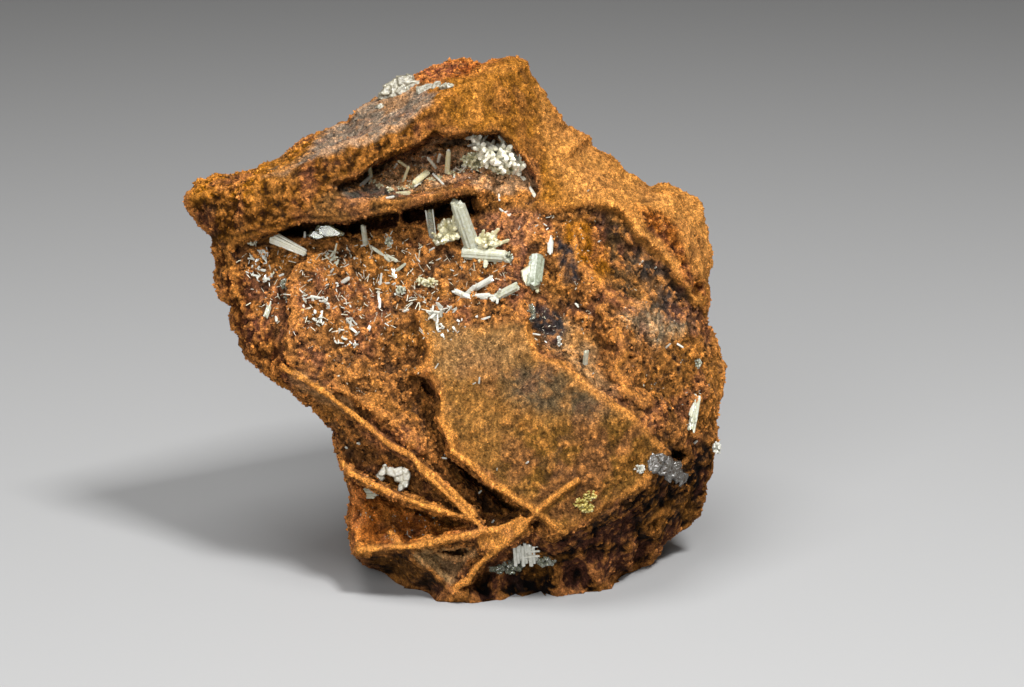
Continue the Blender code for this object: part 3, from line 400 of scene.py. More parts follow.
def septum(line, thickness, reach, taper=1.0):
    """A wall whose lit edge follows the line and thins to `taper` of its thickness at the line's end."""
    away = (seen(EYE_COLUMN, EYE_ROW, -1) - seen(EYE_COLUMN, EYE_ROW, 0)).normalized()
    lengths = []
    for n, (start, end) in enumerate(zip(line, line[1:])):
        half = thickness * MM / 2 * (1 + (taper - 1) * (n + 0.5) / (len(line) - 1))
        a, b = seen(*start), seen(*end)
        along = (b - a).normalized()
        side = along.cross(away).normalized() * half
        a, b = a - along * half, b + along * half
        draw = random.Random(round(start[0] + start[1]))
        points = [p + s * draw.uniform(0.5, 1.05) for p in (a, b) for s in (side, -side)]
        points += [p + s * 1.5 + away * reach * MM for p in (a, b) for s in (side, -side)]
        lengths.append(hull("septum", points))
    return lengths


def hollow(mouth, back):
    """A cutter that enters at the mouth and narrows towards its back."""
    column = sum(point[0] for point in mouth) / len(mouth)
    row = sum(point[1] for point in mouth) / len(mouth)
    front = [seen(c, r, HOLLOW_FRONT) for c, r in mouth]
    end = [
        seen(column + (c - column) * HOLLOW_END_WIDTH, row + (r - row) * HOLLOW_END_HEIGHT, back)
        for c, r in mouth
    ]
    return hull("hollow", front + end)


def break_plane(point, facing):
    """A block that trims whatever lies beyond the plane."""
    size = 120 * MM
    shape = bmesh.new()
    bmesh.ops.create_cube(shape, size=size)
    turn = facing.normalized().to_track_quat("Z", "Y").to_matrix().to_4x4()
    shift = Matrix.Translation(point + facing.normalized() * size / 2)
    bmesh.ops.transform(shape, matrix=shift @ turn, verts=shape.verts)
    return from_bmesh("break", shape)


def weathering(thing, name, size, strength, group):
    """Roughens the surface with lumps of this size, where the group of points lets it."""
    texture = bpy.data.textures.new(name, "CLOUDS")
    texture.noise_scale = size
    rough = thing.modifiers.new(name, "DISPLACE")
    rough.texture = texture
    rough.texture_coords = "GLOBAL"
    rough.strength = strength
    rough.mid_level = 0.5
    rough.vertex_group = group


def read_mesh(mesh):
    """The mesh's points and the way that each faces, as rows of numbers."""
    points = np.empty(len(mesh.vertices) * 3)
    mesh.vertices.foreach_get("co", points)
    normals = np.empty(len(mesh.vertices) * 3)
    mesh.vertices.foreach_get("normal", normals)
    return points.reshape(-1, 3), normals.reshape(-1, 3)


def picture_places(points):
    """The column, row and depth in mm that each point has for its viewer."""
    sine, cosine = math.sin(EYE_ELEVATION), math.cos(EYE_ELEVATION)
    back = points[:, 1] - STAND_Y
    up = back * sine + points[:, 2] * cosine
    forward = points[:, 2] * sine - back * cosine
    spread = (EYE_DISTANCE - forward) / EYE_DISTANCE
    column = EYE_COLUMN + (points[:, 0] / PIXEL - (EYE_COLUMN - FOOT_COLUMN)) / spread
    row = EYE_ROW - (up / PIXEL - (FOOT_ROW - EYE_ROW)) / spread
    return column, row, forward / MM


def step(value, low, high):
    """0 below low and 1 above high, and smooth between."""
    part = np.clip((value - low) / (high - low), 0, 1)
    return part * part * (3 - 2 * part)


def near_line(column, row, depth, line, half, soft, deep):
    """1 along the line, `half` picture units to each side of it and `deep` mm behind it, and 0 away."""
    share = np.zeros(len(column))
    for (c0, r0, d0), (c1, r1, d1) in zip(line, line[1:]):
        dc, dr = c1 - c0, r1 - r0
        part = np.clip(((column - c0) * dc + (row - r0) * dr) / (dc * dc + dr * dr), 0, 1)
        away = np.hypot(column - c0 - part * dc, row - r0 - part * dr)
        near = 1 - step(away, half, half + soft)
        share = np.maximum(share, near * step(depth - d0 - part * (d1 - d0), -deep - 0.8, -deep))
    return share


def along_walls(column, row, depth, deep):
    """1 on the thin walls, down to `deep` mm behind their lit edges, and 0 away from them."""
    share = np.zeros(len(column))
    for line, thickness, _, *taper in SEPTA.values():
        half = thickness * (1 + taper[0] if taper else 2) * MM / PIXEL / 4
        share = np.maximum(share, near_line(column, row, depth, line, half, 1.6, deep))
    return share


# Sharp edges that stay crisp, and half the width in picture units that is kept so.
LIPS = {
    "slab foot and shelf edge": 5, "slot sill": 4, "hollow roof lip": 3, "shelf top": 3, "crest ridge": 2,
    "ear top": 2, "plate left top": 2, "facet edge": 2,
}
LIP_FADE, LIP_DEEP = 4, 12


def along_lips(column, row, depth):
    """1 along the sharp edges of the slot, the hollow and the ridges, and 0 away from them."""
    share = np.zeros(len(column))
    for name, half in LIPS.items():
        lip = near_line(column, row, depth, FACE_LINES[name], half, LIP_FADE, LIP_DEEP)
        share = np.maximum(share, lip)
    return share


def linear(red, green, blue):
    """A colour as a shader needs it, from the 0 to 255 values of a paint chart."""
    return np.array([
        value / 255 / 12.92 if value < 11 else ((value / 255 + 0.055) / 1.055) ** 2.4
        for value in (red, green, blue)
    ])


# The stone is built coarse, cut, and given its walls. It is then turned to even grains and roughened
# as broken rock is, but less on its thin walls and sharp edges.
STONE_GRAIN = 0.3 * MM
WALL_DEEP, WALL_SHELTER = 5, 0.75
LUMP_SIZE, LUMP_HEIGHT = 7 * MM, 1.3 * MM
KNOB_SIZE, KNOB_HEIGHT = 2.2 * MM, 0.5 * MM
stone = face_and_back()
combine(stone, [hollow(mouth, back) for mouth, back in HOLLOWS.values()], "DIFFERENCE")
combine(stone, [length for wall in SEPTA.values() for length in septum(*wall)], "UNION")
breaks = [break_plane(Vector(place) * MM, Vector(facing)) for place, facing in BACK_BREAKS]
combine(stone, breaks, "DIFFERENCE")
grain = stone.modifiers.new("grain", "REMESH")
grain.mode = "VOXEL"
grain.voxel_size = STONE_GRAIN
settle(stone)

places = picture_places(read_mesh(stone.data)[0])
on_wall = np.maximum(along_walls(*places, WALL_DEEP), along_lips(*places))
clear_of_walls = stone.vertex_groups.new(name="clear of walls")
for share in (0.0, 0.5, 1.0):
    here = np.flatnonzero(np.round(on_wall * 2) / 2 == share)
    clear_of_walls.add(here.tolist(), 1 - WALL_SHELTER * share, "REPLACE")
weathering(stone, "lumps", LUMP_SIZE, LUMP_HEIGHT, clear_of_walls.name)
weathering(stone, "knobs", KNOB_SIZE, KNOB_HEIGHT, clear_of_walls.name)
settle(stone)
stone.vertex_groups.clear()

# THE STONE'S SURFACE
# Limonite weathers to a dusty ochre skin over a hard brown inside. The skin is sandy on the slab and
# shoulder, crumbly on the face, and worn to grey-brown on the plate.


def within(column, row, corners, soft):
    """1 well inside the outline and 0 well outside it, changing over `soft` picture units."""
    nearest = np.full(len(column), 1e9)
    inside = np.zeros(len(column), bool)
    for (c0, r0), (c1, r1) in zip(corners, corners[1:] + corners[:1]):
        dc, dr = c1 - c0, r1 - r0
        part = np.clip(((column - c0) * dc + (row - r0) * dr) / (dc * dc + dr * dr), 0, 1)
        nearest = np.minimum(nearest, np.hypot(column - c0 - part * dc, row - r0 - part * dr))
        if r0 != r1:
            crosses = (r0 > row) != (r1 > row)
            inside ^= crosses & (column < dc * (row - r0) / dr + c0)
    distance = np.where(inside, nearest, -nearest)
    return np.clip(0.5 + distance / soft, 0, 1)


def cloud(points, size, seed, octaves=2):
    """Soft noise from about -1 to 1, with forms of `size` mm."""
    places = points / (size * MM) + np.array((7.3, 3.1, 5.7)) * seed
    return np.array([noise.fractal(place, 0.8, 2.1, octaves) for place in places.tolist()])


# The warp of the facets starts from this seed, so that each run gives the same stone.
noise.seed_set(1)


def ledges(points, size, seed):
    """Broken facets of about `size` mm at random heights from -1 to 1."""
    places = points / (size * MM) + np.array((3.7, 8.1, 2.9)) * seed
    heights = []
    for place in places.tolist():
        warp = noise.noise_vector(Vector(place) * 1.7) * 0.35
        near, spots = noise.voronoi(Vector(place) + warp)
        edge = min((near[1] - near[0]) * 5, 1)
        own, other = noise.cell(spots[0] * 37), noise.cell(spots[1] * 37)
        heights.append((own * (1 + edge) + other * (1 - edge)) / 2)
    return np.array(heights)


def jagged(points, size, seed):
    """Sharp ridges and blunt hollows, with forms of `size` mm, from about -1 to 1."""
    places = points / (size * MM) + np.array((5.3, 2.7, 9.1)) * seed
    return np.array([0.8 - noise.turbulence(place, 4, True) * 1.1 for place in places.tolist()])


# Areas of the face: their corners, the width of their edges, their colour, how crumbly they are, and
# how sandy.
AREAS = {
    "slab": ([
        (180, 203), (198, 176), (281, 154), (305, 130), (348, 118), (377, 90), (410, 60), (462, 50),
        (514, 50), (536, 62), (566, 117), (596, 140), (625, 163), (651, 180), (688, 184), (725, 210),
        (728, 262), (715, 285), (705, 320), (683, 293), (669, 275), (655, 256), (634, 240), (627, 222),
        (616, 212), (587, 204), (541, 206), (533, 206), (541, 191), (537, 175), (525, 158), (513, 141),
        (500, 130), (470, 131), (434, 130), (392, 151), (368, 165), (331, 184), (300, 222), (264, 237),
        (217, 241), (185, 226),
    ], 8, (156, 102, 32), 0.3, 1),
    # The slab's front is painted darker than the slab: its own olive ochre, darkened further as painted
    # shade.
    "slab front": ([
        (187, 205), (225, 188), (262, 180), (311, 164), (335, 154), (371, 143), (397, 131), (420, 116),
        (434, 130), (392, 151), (368, 165), (331, 182), (300, 222), (264, 236), (217, 240), (195, 228),
    ], 14, (88, 52, 0), 0.7, 0.9),
    "shelf": ([
        (330, 192), (374, 196), (400, 198), (440, 190), (480, 184), (482, 192), (455, 199), (400, 213),
        (368, 222), (346, 226), (303, 224), (310, 206),
    ], 6, (108, 76, 40), 0.5, 0.8),
    "shoulder": ([
        (541, 90), (560, 122), (588, 140), (625, 170), (651, 186), (688, 188), (720, 215), (724, 262),
        (708, 285), (700, 306), (683, 290), (669, 272), (655, 253), (634, 237), (627, 220), (616, 209),
        (580, 200), (560, 190), (552, 160), (540, 130),
    ], 16, (206, 142, 70), 0.2, 1),
    "top strip": ([
        (281, 160), (305, 138), (329, 129), (348, 123), (357, 107), (377, 97), (396, 86), (440, 92),
        (424, 112), (397, 131), (371, 143), (335, 153), (311, 164), (286, 172), (262, 178),
    ], 5, (146, 130, 112), 0.45, 0.5),
    "orange rubble": ([
        (196, 188), (214, 173), (259, 166), (281, 156), (305, 136), (322, 136), (306, 156), (282, 168),
        (258, 180), (240, 192), (210, 196),
    ], 9, (148, 94, 0), 1.0, 0),
    "crest rubble": ([
        (396, 82), (410, 64), (462, 55), (500, 58), (470, 74), (440, 80), (420, 84),
    ], 9, (176, 92, 36), 1.0, 0),
    "plate": ([
        (424, 308), (440, 318), (470, 326), (500, 326), (527, 322), (532, 343), (537, 356), (569, 367),
        (584, 382), (604, 400), (628, 413), (645, 430), (660, 447), (640, 484), (617, 500), (595, 513),
        (560, 532), (536, 512), (504, 490), (471, 464), (450, 436), (441, 415), (441, 398), (430, 370),
        (430, 350), (422, 326),
    ], 8, (148, 104, 50), 0.3, 0.6),
    "plate grey": ([
        (500, 372), (520, 362), (548, 366), (580, 378), (604, 396), (628, 418), (600, 424), (560, 416),
        (530, 414), (508, 398),
    ], 22, (104, 86, 60), 0.4, 0.4),
    "plate low": ([
        (520, 424), (600, 424), (636, 420), (655, 447), (636, 482), (600, 504), (560, 520), (530, 496),
        (505, 466),
    ], 24, (128, 90, 36), 0.55, 0.3),
    "plate top": ([
        (430, 320), (470, 328), (522, 326), (532, 350), (500, 368), (460, 378), (438, 370),
    ], 16, (160, 120, 73), 0.2, 0.7),
    "panel": ([
        (590, 214), (616, 215), (634, 236), (655, 262), (690, 300), (700, 322), (680, 330), (650, 318),
        (622, 296), (604, 274), (592, 240),
    ], 10, (108, 80, 48), 1.0, 0.1),
    "panel's foot": ([
        (652, 300), (690, 316), (700, 336), (694, 356), (668, 352), (640, 338), (624, 316), (636, 304),
    ], 14, (194, 166, 128), 0.9, 0),
    "gully": ([
        (540, 318), (566, 318), (590, 340), (600, 372), (620, 396), (596, 388), (570, 362), (546, 350),
    ], 8, (196, 150, 100), 0.8, 0.1),
    "panel's grey": ([
        (634, 258), (650, 262), (676, 292), (694, 318), (676, 322), (650, 306), (634, 284),
    ], 14, (92, 80, 70), 0.8, 0),
    "shoulder's scar": ([
        (640, 208), (662, 212), (684, 240), (694, 268), (702, 290), (696, 296), (680, 268), (664, 244),
        (646, 226),
    ], 7, (150, 84, 24), 0.95, 0.1),
    "right flank": ([
        (664, 340), (706, 330), (716, 351), (728, 373), (728, 395), (718, 432), (690, 420), (660, 410),
        (642, 385),
    ], 12, (154, 102, 46), 0.9, 0.1),
    # Painted shade: the underside is painted near-black.
    "underside": ([
        (672, 446), (728, 440), (728, 480), (714, 510), (699, 522), (680, 534), (658, 552), (647, 575),
        (629, 585), (600, 612), (430, 620), (458, 596), (472, 588), (492, 566), (520, 545), (562, 536),
        (600, 518), (645, 488),
    ], 10, (14, 6, 0), 0.6, 0),
    # Painted shade: the underside's left part is painted dark grey-brown.
    "underside left": ([
        (350, 555), (408, 553), (428, 572), (448, 592), (455, 612), (430, 620), (390, 610), (350, 570),
    ], 6, (40, 27, 17), 0.4, 0),
    "lower left floor": ([
        (350, 484), (396, 505), (440, 518), (470, 530), (430, 540), (392, 546), (356, 548), (348, 520),
    ], 8, (184, 106, 40), 0.6, 0),
    "foot facet": ([(414, 552), (470, 546), (478, 552), (462, 568), (450, 586), (432, 572)],
                   4, (172, 140, 96), 0.4, 0),
    "dark patch by the east prism": ([
        (553, 240), (560, 236), (572, 248), (578, 262), (575, 280), (563, 286), (556, 276), (558, 260),
    ], 6, (60, 56, 58), 0.7, 0),
    "dark patch under the blocky prism": ([
        (531, 306), (545, 304), (560, 316), (566, 332), (556, 345), (542, 340), (534, 326),
    ], 6, (66, 62, 62), 0.7, 0),
    "dark patch in the notch": ([(528, 256), (524, 268), (520, 270), (519, 252), (540, 250)],
                                4, (40, 26, 18), 0.5, 0),
    # Painted shade: the slot under the slab is painted near-black.
    "slot": ([
        (262, 238), (303, 225), (348, 227), (370, 223), (402, 214), (434, 207), (462, 198), (478, 196),
        (482, 212), (450, 216), (423, 217), (400, 222), (368, 229), (346, 234), (300, 237), (266, 241),
    ], 4, (20, 11, 6), 0.5, 0),
    "slab's left end": ([
        (208, 178), (232, 176), (262, 182), (262, 196), (244, 204), (226, 196), (206, 192),
    ], 10, (146, 92, 0), 0.9, 0.2),
    "hollow": ([
        (338, 190), (372, 168), (434, 142), (500, 138), (520, 160), (536, 190), (500, 196), (470, 180),
        (400, 194), (350, 197),
    ], 5, (232, 184, 138), 0.9, 0),
    "hollow's grey floor": ([
        (336, 190), (348, 184), (372, 185), (404, 190), (396, 198), (352, 200),
    ], 5, (104, 98, 86), 0.8, 0),
    # Painted shade: the crevice by the corner is painted near-black.
    "corner's crevice": ([
        (676, 450), (700, 446), (717, 448), (708, 460), (694, 468), (680, 464),
    ], 5, (28, 17, 9), 0.6, 0),
    "left edge": ([
        (210, 244), (238, 246), (246, 280), (262, 320), (300, 372), (284, 388), (240, 350), (222, 300),
    ], 12, (104, 58, 26), 1.0, 0),
    "golden patch": ([
        (566, 218), (592, 216), (606, 240), (610, 270), (598, 286), (580, 264), (568, 240),
    ], 8, (166, 104, 16), 0.8, 0.1),
    "right rim": ([
        (703, 350), (724, 352), (732, 395), (724, 424), (708, 414), (703, 380),
    ], 8, (184, 124, 58), 0.8, 0.2),
    "septum's start": ([
        (290, 370), (306, 374), (352, 402), (350, 414), (320, 402), (290, 384),
    ], 5, (186, 138, 88), 0.5, 0.3),
    "upper face": ([
        (482, 214), (520, 206), (540, 212), (536, 240), (520, 262), (500, 232), (484, 226),
    ], 8, (178, 120, 84), 0.9, 0),
    # Painted shadow: the cell below the plate's edge is painted dark brown as the edge's cast shadow.
    "cell behind the plate's edge": ([
        (448, 458), (458, 462), (474, 476), (503, 497), (526, 514), (512, 524), (488, 512), (460, 490),
        (446, 472),
    ], 5, (62, 40, 22), 0.6, 0),
}
FACE_COLOUR, FACE_CRUMBS, FACE_SAND = (158, 105, 56), 0.9, 0
WALL_OCHRE_AND_HIGHLIGHT, WALL_CRUMBS, WALL_SAND, WALL_LIT = (204, 136, 62), 0.1, 0.2, 0.7

# Broken edges of the face where dust lies thick and the edge is painted bright as painted highlight, and
# half their width in picture units.
DUSTY_HIGHLIT_EDGES = {
    "crest ridge": 1.4, "ear top": 1.4, "plate right top": 2.2, "plate left top": 2.4,
    "face foot edge": 2.4, "plate edge top": 3.4,
}
FORWARD = np.array((0, -math.cos(EYE_ELEVATION), math.sin(EYE_ELEVATION)))
AREA_WANDER = 6


def face_areas(points, normals):
    """Each point's colour, and how crumbly and how sandy the stone is there."""
    column, row, depth = picture_places(points)
    on_wall = along_walls(column, row, depth, WALL_LIT)
    on_edge = np.zeros(len(points))
    for name, half in DUSTY_HIGHLIT_EDGES.items():
        edge = near_line(column, row, depth, FACE_LINES[name], half, 2.5, 1.5)
        on_edge = np.maximum(on_edge, edge * 0.7)
    column = column + cloud(points, 3, 1) * AREA_WANDER
    row = row + cloud(points, 3, 2) * AREA_WANDER
    in_front = np.clip(normals @ FORWARD * 3 + 0.8, 0, 1)
    values = np.tile(np.array((*linear(*FACE_COLOUR), FACE_CRUMBS, FACE_SAND)), (len(points), 1))
    for corners, soft, colour, crumbs, sand in AREAS.values():
        share = within(column, row, corners, soft) * in_front
        values += (np.array((*linear(*colour), crumbs, sand)) - values) * share[:, None]
    # The walls' front edges and the dusty edges take the wall colour: their ochre skin and a painted
    # highlight.
    wall = np.array((*linear(*WALL_OCHRE_AND_HIGHLIGHT), WALL_CRUMBS, WALL_SAND))
    patches = step(cloud(points, 1.2, 10), -0.7, 0.1)
    bright = np.maximum(on_wall * (0.55 + 0.45 * patches), on_edge * patches)
    values += (wall - values) * bright[:, None]
    return values[:, :3], values[:, 3], values[:, 4]


# What roughens the crumbly stone and the sandy stone: the kind of form, its height and size in mm, its
# seed, and how much longer it is along the slab.
CRUMBLY_FORMS = [
    (ledges, 0.34, 2.2, 1, 1), (ledges, 0.2, 1.1, 2, 1), (jagged, 0.3, 2.4, 2, 1), (jagged, 0.3, 5.5, 8, 1),
]
SANDY_FORMS = [(ledges, 0.16, 2.0, 3, 2.2), (ledges, 0.12, 0.9, 5, 2), (jagged, 0.15, 1.8, 4, 2.5)]
GRIT_HEIGHT, GRIT_SIZE, LIP_SHELTER = 0.1, 0.8, 0.6
SLAB_AXIS = np.array((0.93, 0, 0.37))


def roughness(points, forms):
    """How far in mm these forms raise each point."""
    height = 0
    for form, rise, size, seed, stretch in forms:
        squeezed = points
        if stretch != 1:
            squeezed = points - np.outer(points @ SLAB_AXIS, SLAB_AXIS) * (1 - 1 / stretch)
        height = height + rise * form(squeezed, size, seed)
    return height


points, normals = read_mesh(stone.data)
_, crumbly, sandy = face_areas(points, normals)
height = crumbly * roughness(points, CRUMBLY_FORMS)
height += sandy * roughness(points, SANDY_FORMS)
height += GRIT_HEIGHT * cloud(points, GRIT_SIZE, 6)
height *= 1 - LIP_SHELTER * along_lips(*picture_places(points))
points += normals * height[:, None] * MM
points[:, 2] = np.maximum(points[:, 2], 0)
stone.data.vertices.foreach_set("co", points.ravel())
stone.data.update()

# It is thinned to this many triangles, most where it faces away or lies far back.
STONE_TRIANGLES, FRONT_THINNING, FAR_BACK = 195000, 0.25, -22
behind = stone.vertex_groups.new(name="behind")
points, normals = read_mesh(stone.data)
hidden = (normals @ FORWARD < -0.1) | (picture_places(points)[2] < FAR_BACK)
behind.add([int(n) for n in np.flatnonzero(hidden)], 1, "REPLACE")
behind.add([int(n) for n in np.flatnonzero(~hidden)], FRONT_THINNING, "REPLACE")
thin = stone.modifiers.new("thin", "DECIMATE")
thin.vertex_group = behind.name
thin.ratio = STONE_TRIANGLES / (2 * len(stone.data.polygons))
thin.use_collapse_triangulate = True
settle(stone)
stone.vertex_groups.clear()


def relief(mesh, points, normals, rounds):
    """How far in mm each point stands above the surface smoothed this many times."""
    edges = np.empty(len(mesh.edges) * 2, np.int32)
    mesh.edges.foreach_get("vertices", edges)
    one, other = edges.reshape(-1, 2).T
    count = len(points)
    joined = np.bincount(one, minlength=count) + np.bincount(other, minlength=count)
    smooth = points.copy()
    for _ in range(rounds):
        total = np.zeros_like(smooth)
        for axis in range(3):
            total[:, axis] = np.bincount(one, smooth[other, axis], count)
            total[:, axis] += np.bincount(other, smooth[one, axis], count)
        smooth = 0.3 * smooth + 0.7 * total / joined[:, None]
    return ((points - smooth) * normals).sum(1) / MM


def toward(tint, colour, share):
    """The tint, part of the way to the colour."""
    return tint + (linear(*colour) - tint) * np.clip(share, 0, 1)[:, None]


# What stands out is painted lighter as painted highlight, iron-black skin shows in patches of the crumbly
# face, and pits are painted dark as painted shade.
RED_BROWN, OCHRE, IRON_BLACK = (150, 92, 70), (192, 128, 54), (66, 54, 50)
DARK_SAND, PALE_SAND, LIT_CRUMB = (96, 60, 20), (206, 138, 66), (214, 140, 66)
points, normals = read_mesh(stone.data)
tint, crumbly, sandy = face_areas(points, normals)
fine_relief = relief(stone.data, points, normals, 4)
broad_relief = relief(stone.data, points, normals, 40)
patch, blotch, mottle = cloud(points, 5, 7, 3), cloud(points, 2.6, 8, 3), cloud(points, 1.2, 9, 2)
tint = toward(tint, RED_BROWN, step(patch, 0.0, 0.4) * crumbly * 0.6)
tint = toward(tint, OCHRE, step(-patch, 0.15, 0.6) * crumbly * 0.6)
tint = toward(tint, IRON_BLACK, step(blotch, 0.3, 0.55) * crumbly * 0.6)
tint = toward(tint, DARK_SAND, step(blotch, 0.3, 0.8) * sandy * 0.45)
tint = toward(tint, PALE_SAND, step(-patch, 0.1, 0.6) * sandy * 0.3)
# Painted highlight on raised relief and painted shade in sunken pits, read from the mesh's own relief.
proud = step(fine_relief * 8 + broad_relief * 1.2 + mottle * 0.3, 0, 1)
sunken = step(-fine_relief * 9 - broad_relief * 0.7 + mottle * 0.3, 0, 1)
tint = toward(tint, LIT_CRUMB, proud * crumbly * 0.55)
tint *= (0.85 + 0.34 * proud - 0.47 * sunken * np.maximum(crumbly, 0.5) + 0.2 * mottle)[:, None]
tints = stone.data.color_attributes.new("tint", "FLOAT_COLOR", "POINT")
tints.data.foreach_set("color", np.c_[np.clip(tint, 0.002, 1), np.ones(len(tint))].ravel())
looseness = stone.data.attributes.new("crumbly", "FLOAT", "POINT")
looseness.data.foreach_set("value", crumbly)
stone.data.polygons.foreach_set("use_smooth", np.ones(len(stone.data.polygons), bool))
stone.name = "limonite_stone"


def add_node(material, kind, **settings):
    """A node of the material, with these properties and input values."""
    node = material.node_tree.nodes.new(kind)
    for name, value in settings.items():
        if hasattr(node, name):
            setattr(node, name, value)
        else:
            node.inputs[name.replace("_", " ")].default_value = value
    return node


def join(one, output, other, socket):
    one.id_data.links.new(one.outputs[output], other.inputs[socket])


def new_material(name, **values):
    """A material with these values on its shader."""
    material = bpy.data.materials.new(name)
    material.use_nodes = True
    shader = material.node_tree.nodes["Principled BSDF"]
    for socket, value in values.items():
        shader.inputs[socket.replace("_", " ")].default_value = value
    return material, shader


# The material lightens and darkens the tint with the same grains, a quarter of a millimetre across, that
# raise its bump, as painted highlight and painted shade, and brightens it with dust on the highest grains.
# It paints dark shade into the pores and the gaps between crumbs, where the bump sinks, and lights the
# crumbs' middles as painted highlight. The pores and gaps lie thickest where the stone is crumbly.
DUST_GAIN, PORE_SHADE = (2.5, 2.3, 1.9), (16, 9, 5)
GRAIN_SCALE, PORE_SCALE, CRUMB_SCALE, CRUMB_WARP = 4600, 1250, 1500, 0.0005
limonite, shader = new_material("limonite", Roughness=0.9, Specular_IOR_Level=0.08)
where = add_node(limonite, "ShaderNodeNewGeometry")
tint_node = add_node(limonite, "ShaderNodeAttribute", attribute_name="tint")
loose_node = add_node(limonite, "ShaderNodeAttribute", attribute_name="crumbly")
grains = add_node(limonite, "ShaderNodeTexNoise", Scale=GRAIN_SCALE, Detail=5, Roughness=0.8)
pores = add_node(limonite, "ShaderNodeTexNoise", Scale=PORE_SCALE, Detail=4, Roughness=0.6)
nudge = add_node(limonite, "ShaderNodeVectorMath", operation="MULTIPLY_ADD")
nudge.inputs[1].default_value = (CRUMB_WARP,) * 3
crumbs = add_node(limonite, "ShaderNodeTexVoronoi", feature="F1", Scale=CRUMB_SCALE, Randomness=1)
# Painted shade in the gaps between crumbs and painted highlight on their middles, following the crumb bump.
gap = add_node(limonite, "ShaderNodeMapRange", From_Min=0.8, From_Max=0.15, To_Min=0.35, To_Max=1.35)
gaps = add_node(limonite, "ShaderNodeMapRange", From_Min=0.3, From_Max=0.9, To_Min=0, To_Max=0.6)
gap_shaded = add_node(limonite, "ShaderNodeMix", data_type="RGBA", blend_type="MULTIPLY")
# Painted highlight and painted shade: the grains that raise the bump lighten and darken the tint.
shade = add_node(limonite, "ShaderNodeMapRange", From_Min=0.36, From_Max=0.64, To_Min=0.42, To_Max=1.6)
dusty = add_node(limonite, "ShaderNodeMapRange", From_Min=0.54, From_Max=0.68, To_Min=0, To_Max=0.6)
# Painted shade: the pores, where the pore bump sinks, are darkened nearly to black.
hole = add_node(limonite, "ShaderNodeMapRange", From_Min=0.47, From_Max=0.34, To_Min=0, To_Max=1)
loose = add_node(limonite, "ShaderNodeMapRange", From_Min=0, From_Max=0.9, To_Min=0.12, To_Max=0.95)
holes = add_node(limonite, "ShaderNodeMath", operation="MULTIPLY")
shaded = add_node(limonite, "ShaderNodeMix", data_type="RGBA", blend_type="MULTIPLY")
shaded.inputs["Factor"].default_value = 1
dusted = add_node(limonite, "ShaderNodeMix", data_type="RGBA", blend_type="MULTIPLY")
dusted.inputs[7].default_value = (*DUST_GAIN, 1)
pore_shaded = add_node(limonite, "ShaderNodeMix", data_type="RGBA")
pore_shaded.inputs[7].default_value = (*linear(*PORE_SHADE), 1)
bump = add_node(limonite, "ShaderNodeBump", Strength=1, Distance=0.0004)
pore_bump = add_node(limonite, "ShaderNodeBump", Strength=1, Distance=0.0008)
crumb_bump = add_node(limonite, "ShaderNodeBump", Strength=0.35, Distance=0.0005)
for wire in (
    (where, "Position", grains, "Vector"),
    (where, "Position", pores, "Vector"),
    (grains, "Fac", shade, "Value"),
    (grains, "Fac", dusty, "Value"),
    (pores, "Fac", hole, "Value"),
    (loose_node, "Fac", loose, "Value"),
    (hole, "Result", holes, 0),
    (loose, "Result", holes, 1),
    (grains, "Color", nudge, 0),
    (where, "Position", nudge, 2),
    (nudge, "Vector", crumbs, "Vector"),
    (crumbs, "Distance", gap, "Value"),
    (tint_node, "Color", gap_shaded, 6),
    (gap, "Result", gap_shaded, 7),
    (loose_node, "Fac", gaps, "Value"),
    (gaps, "Result", gap_shaded, "Factor"),
    (gap_shaded, 2, shaded, 6),
    (shade, "Result", shaded, 7),
    (shaded, 2, dusted, 6),
    (dusty, "Result", dusted, "Factor"),
    (dusted, 2, pore_shaded, 6),
    (holes, "Value", pore_shaded, "Factor"),
    (pore_shaded, 2, shader, "Base Color"),
    (grains, "Fac", bump, "Height"),
    (pores, "Fac", pore_bump, "Height"),
    (gap, "Result", crumb_bump, "Height"),
    (pore_bump, "Normal", crumb_bump, "Normal"),
    (crumb_bump, "Normal", bump, "Normal"),
    (bump, "Normal", shader, "Normal"),
):
    join(*wire)
stone.data.materials.clear()
stone.data.materials.append(limonite)
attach(stone, "root")
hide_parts("matrix")

# CRUMBS AND SAND
# Loose crumbs and grains of limonite cling to the stone, stuck on by the same dust. Coarse ones lie
# where the stone is crumbly, and fine sand on the slab, the shoulder and the plate.

GRAIN_CORNERS = np.array([(1, 0, 0), (-1, 0, 0), (0, 1, 0), (0, -1, 0), (0, 0, 1), (0, 0, -1)])
GRAIN_FACES = [(0, 2, 4), (2, 1, 4), (1, 3, 4), (3, 0, 4), (2, 0, 5), (1, 2, 5), (3, 1, 5), (0, 3, 5)]


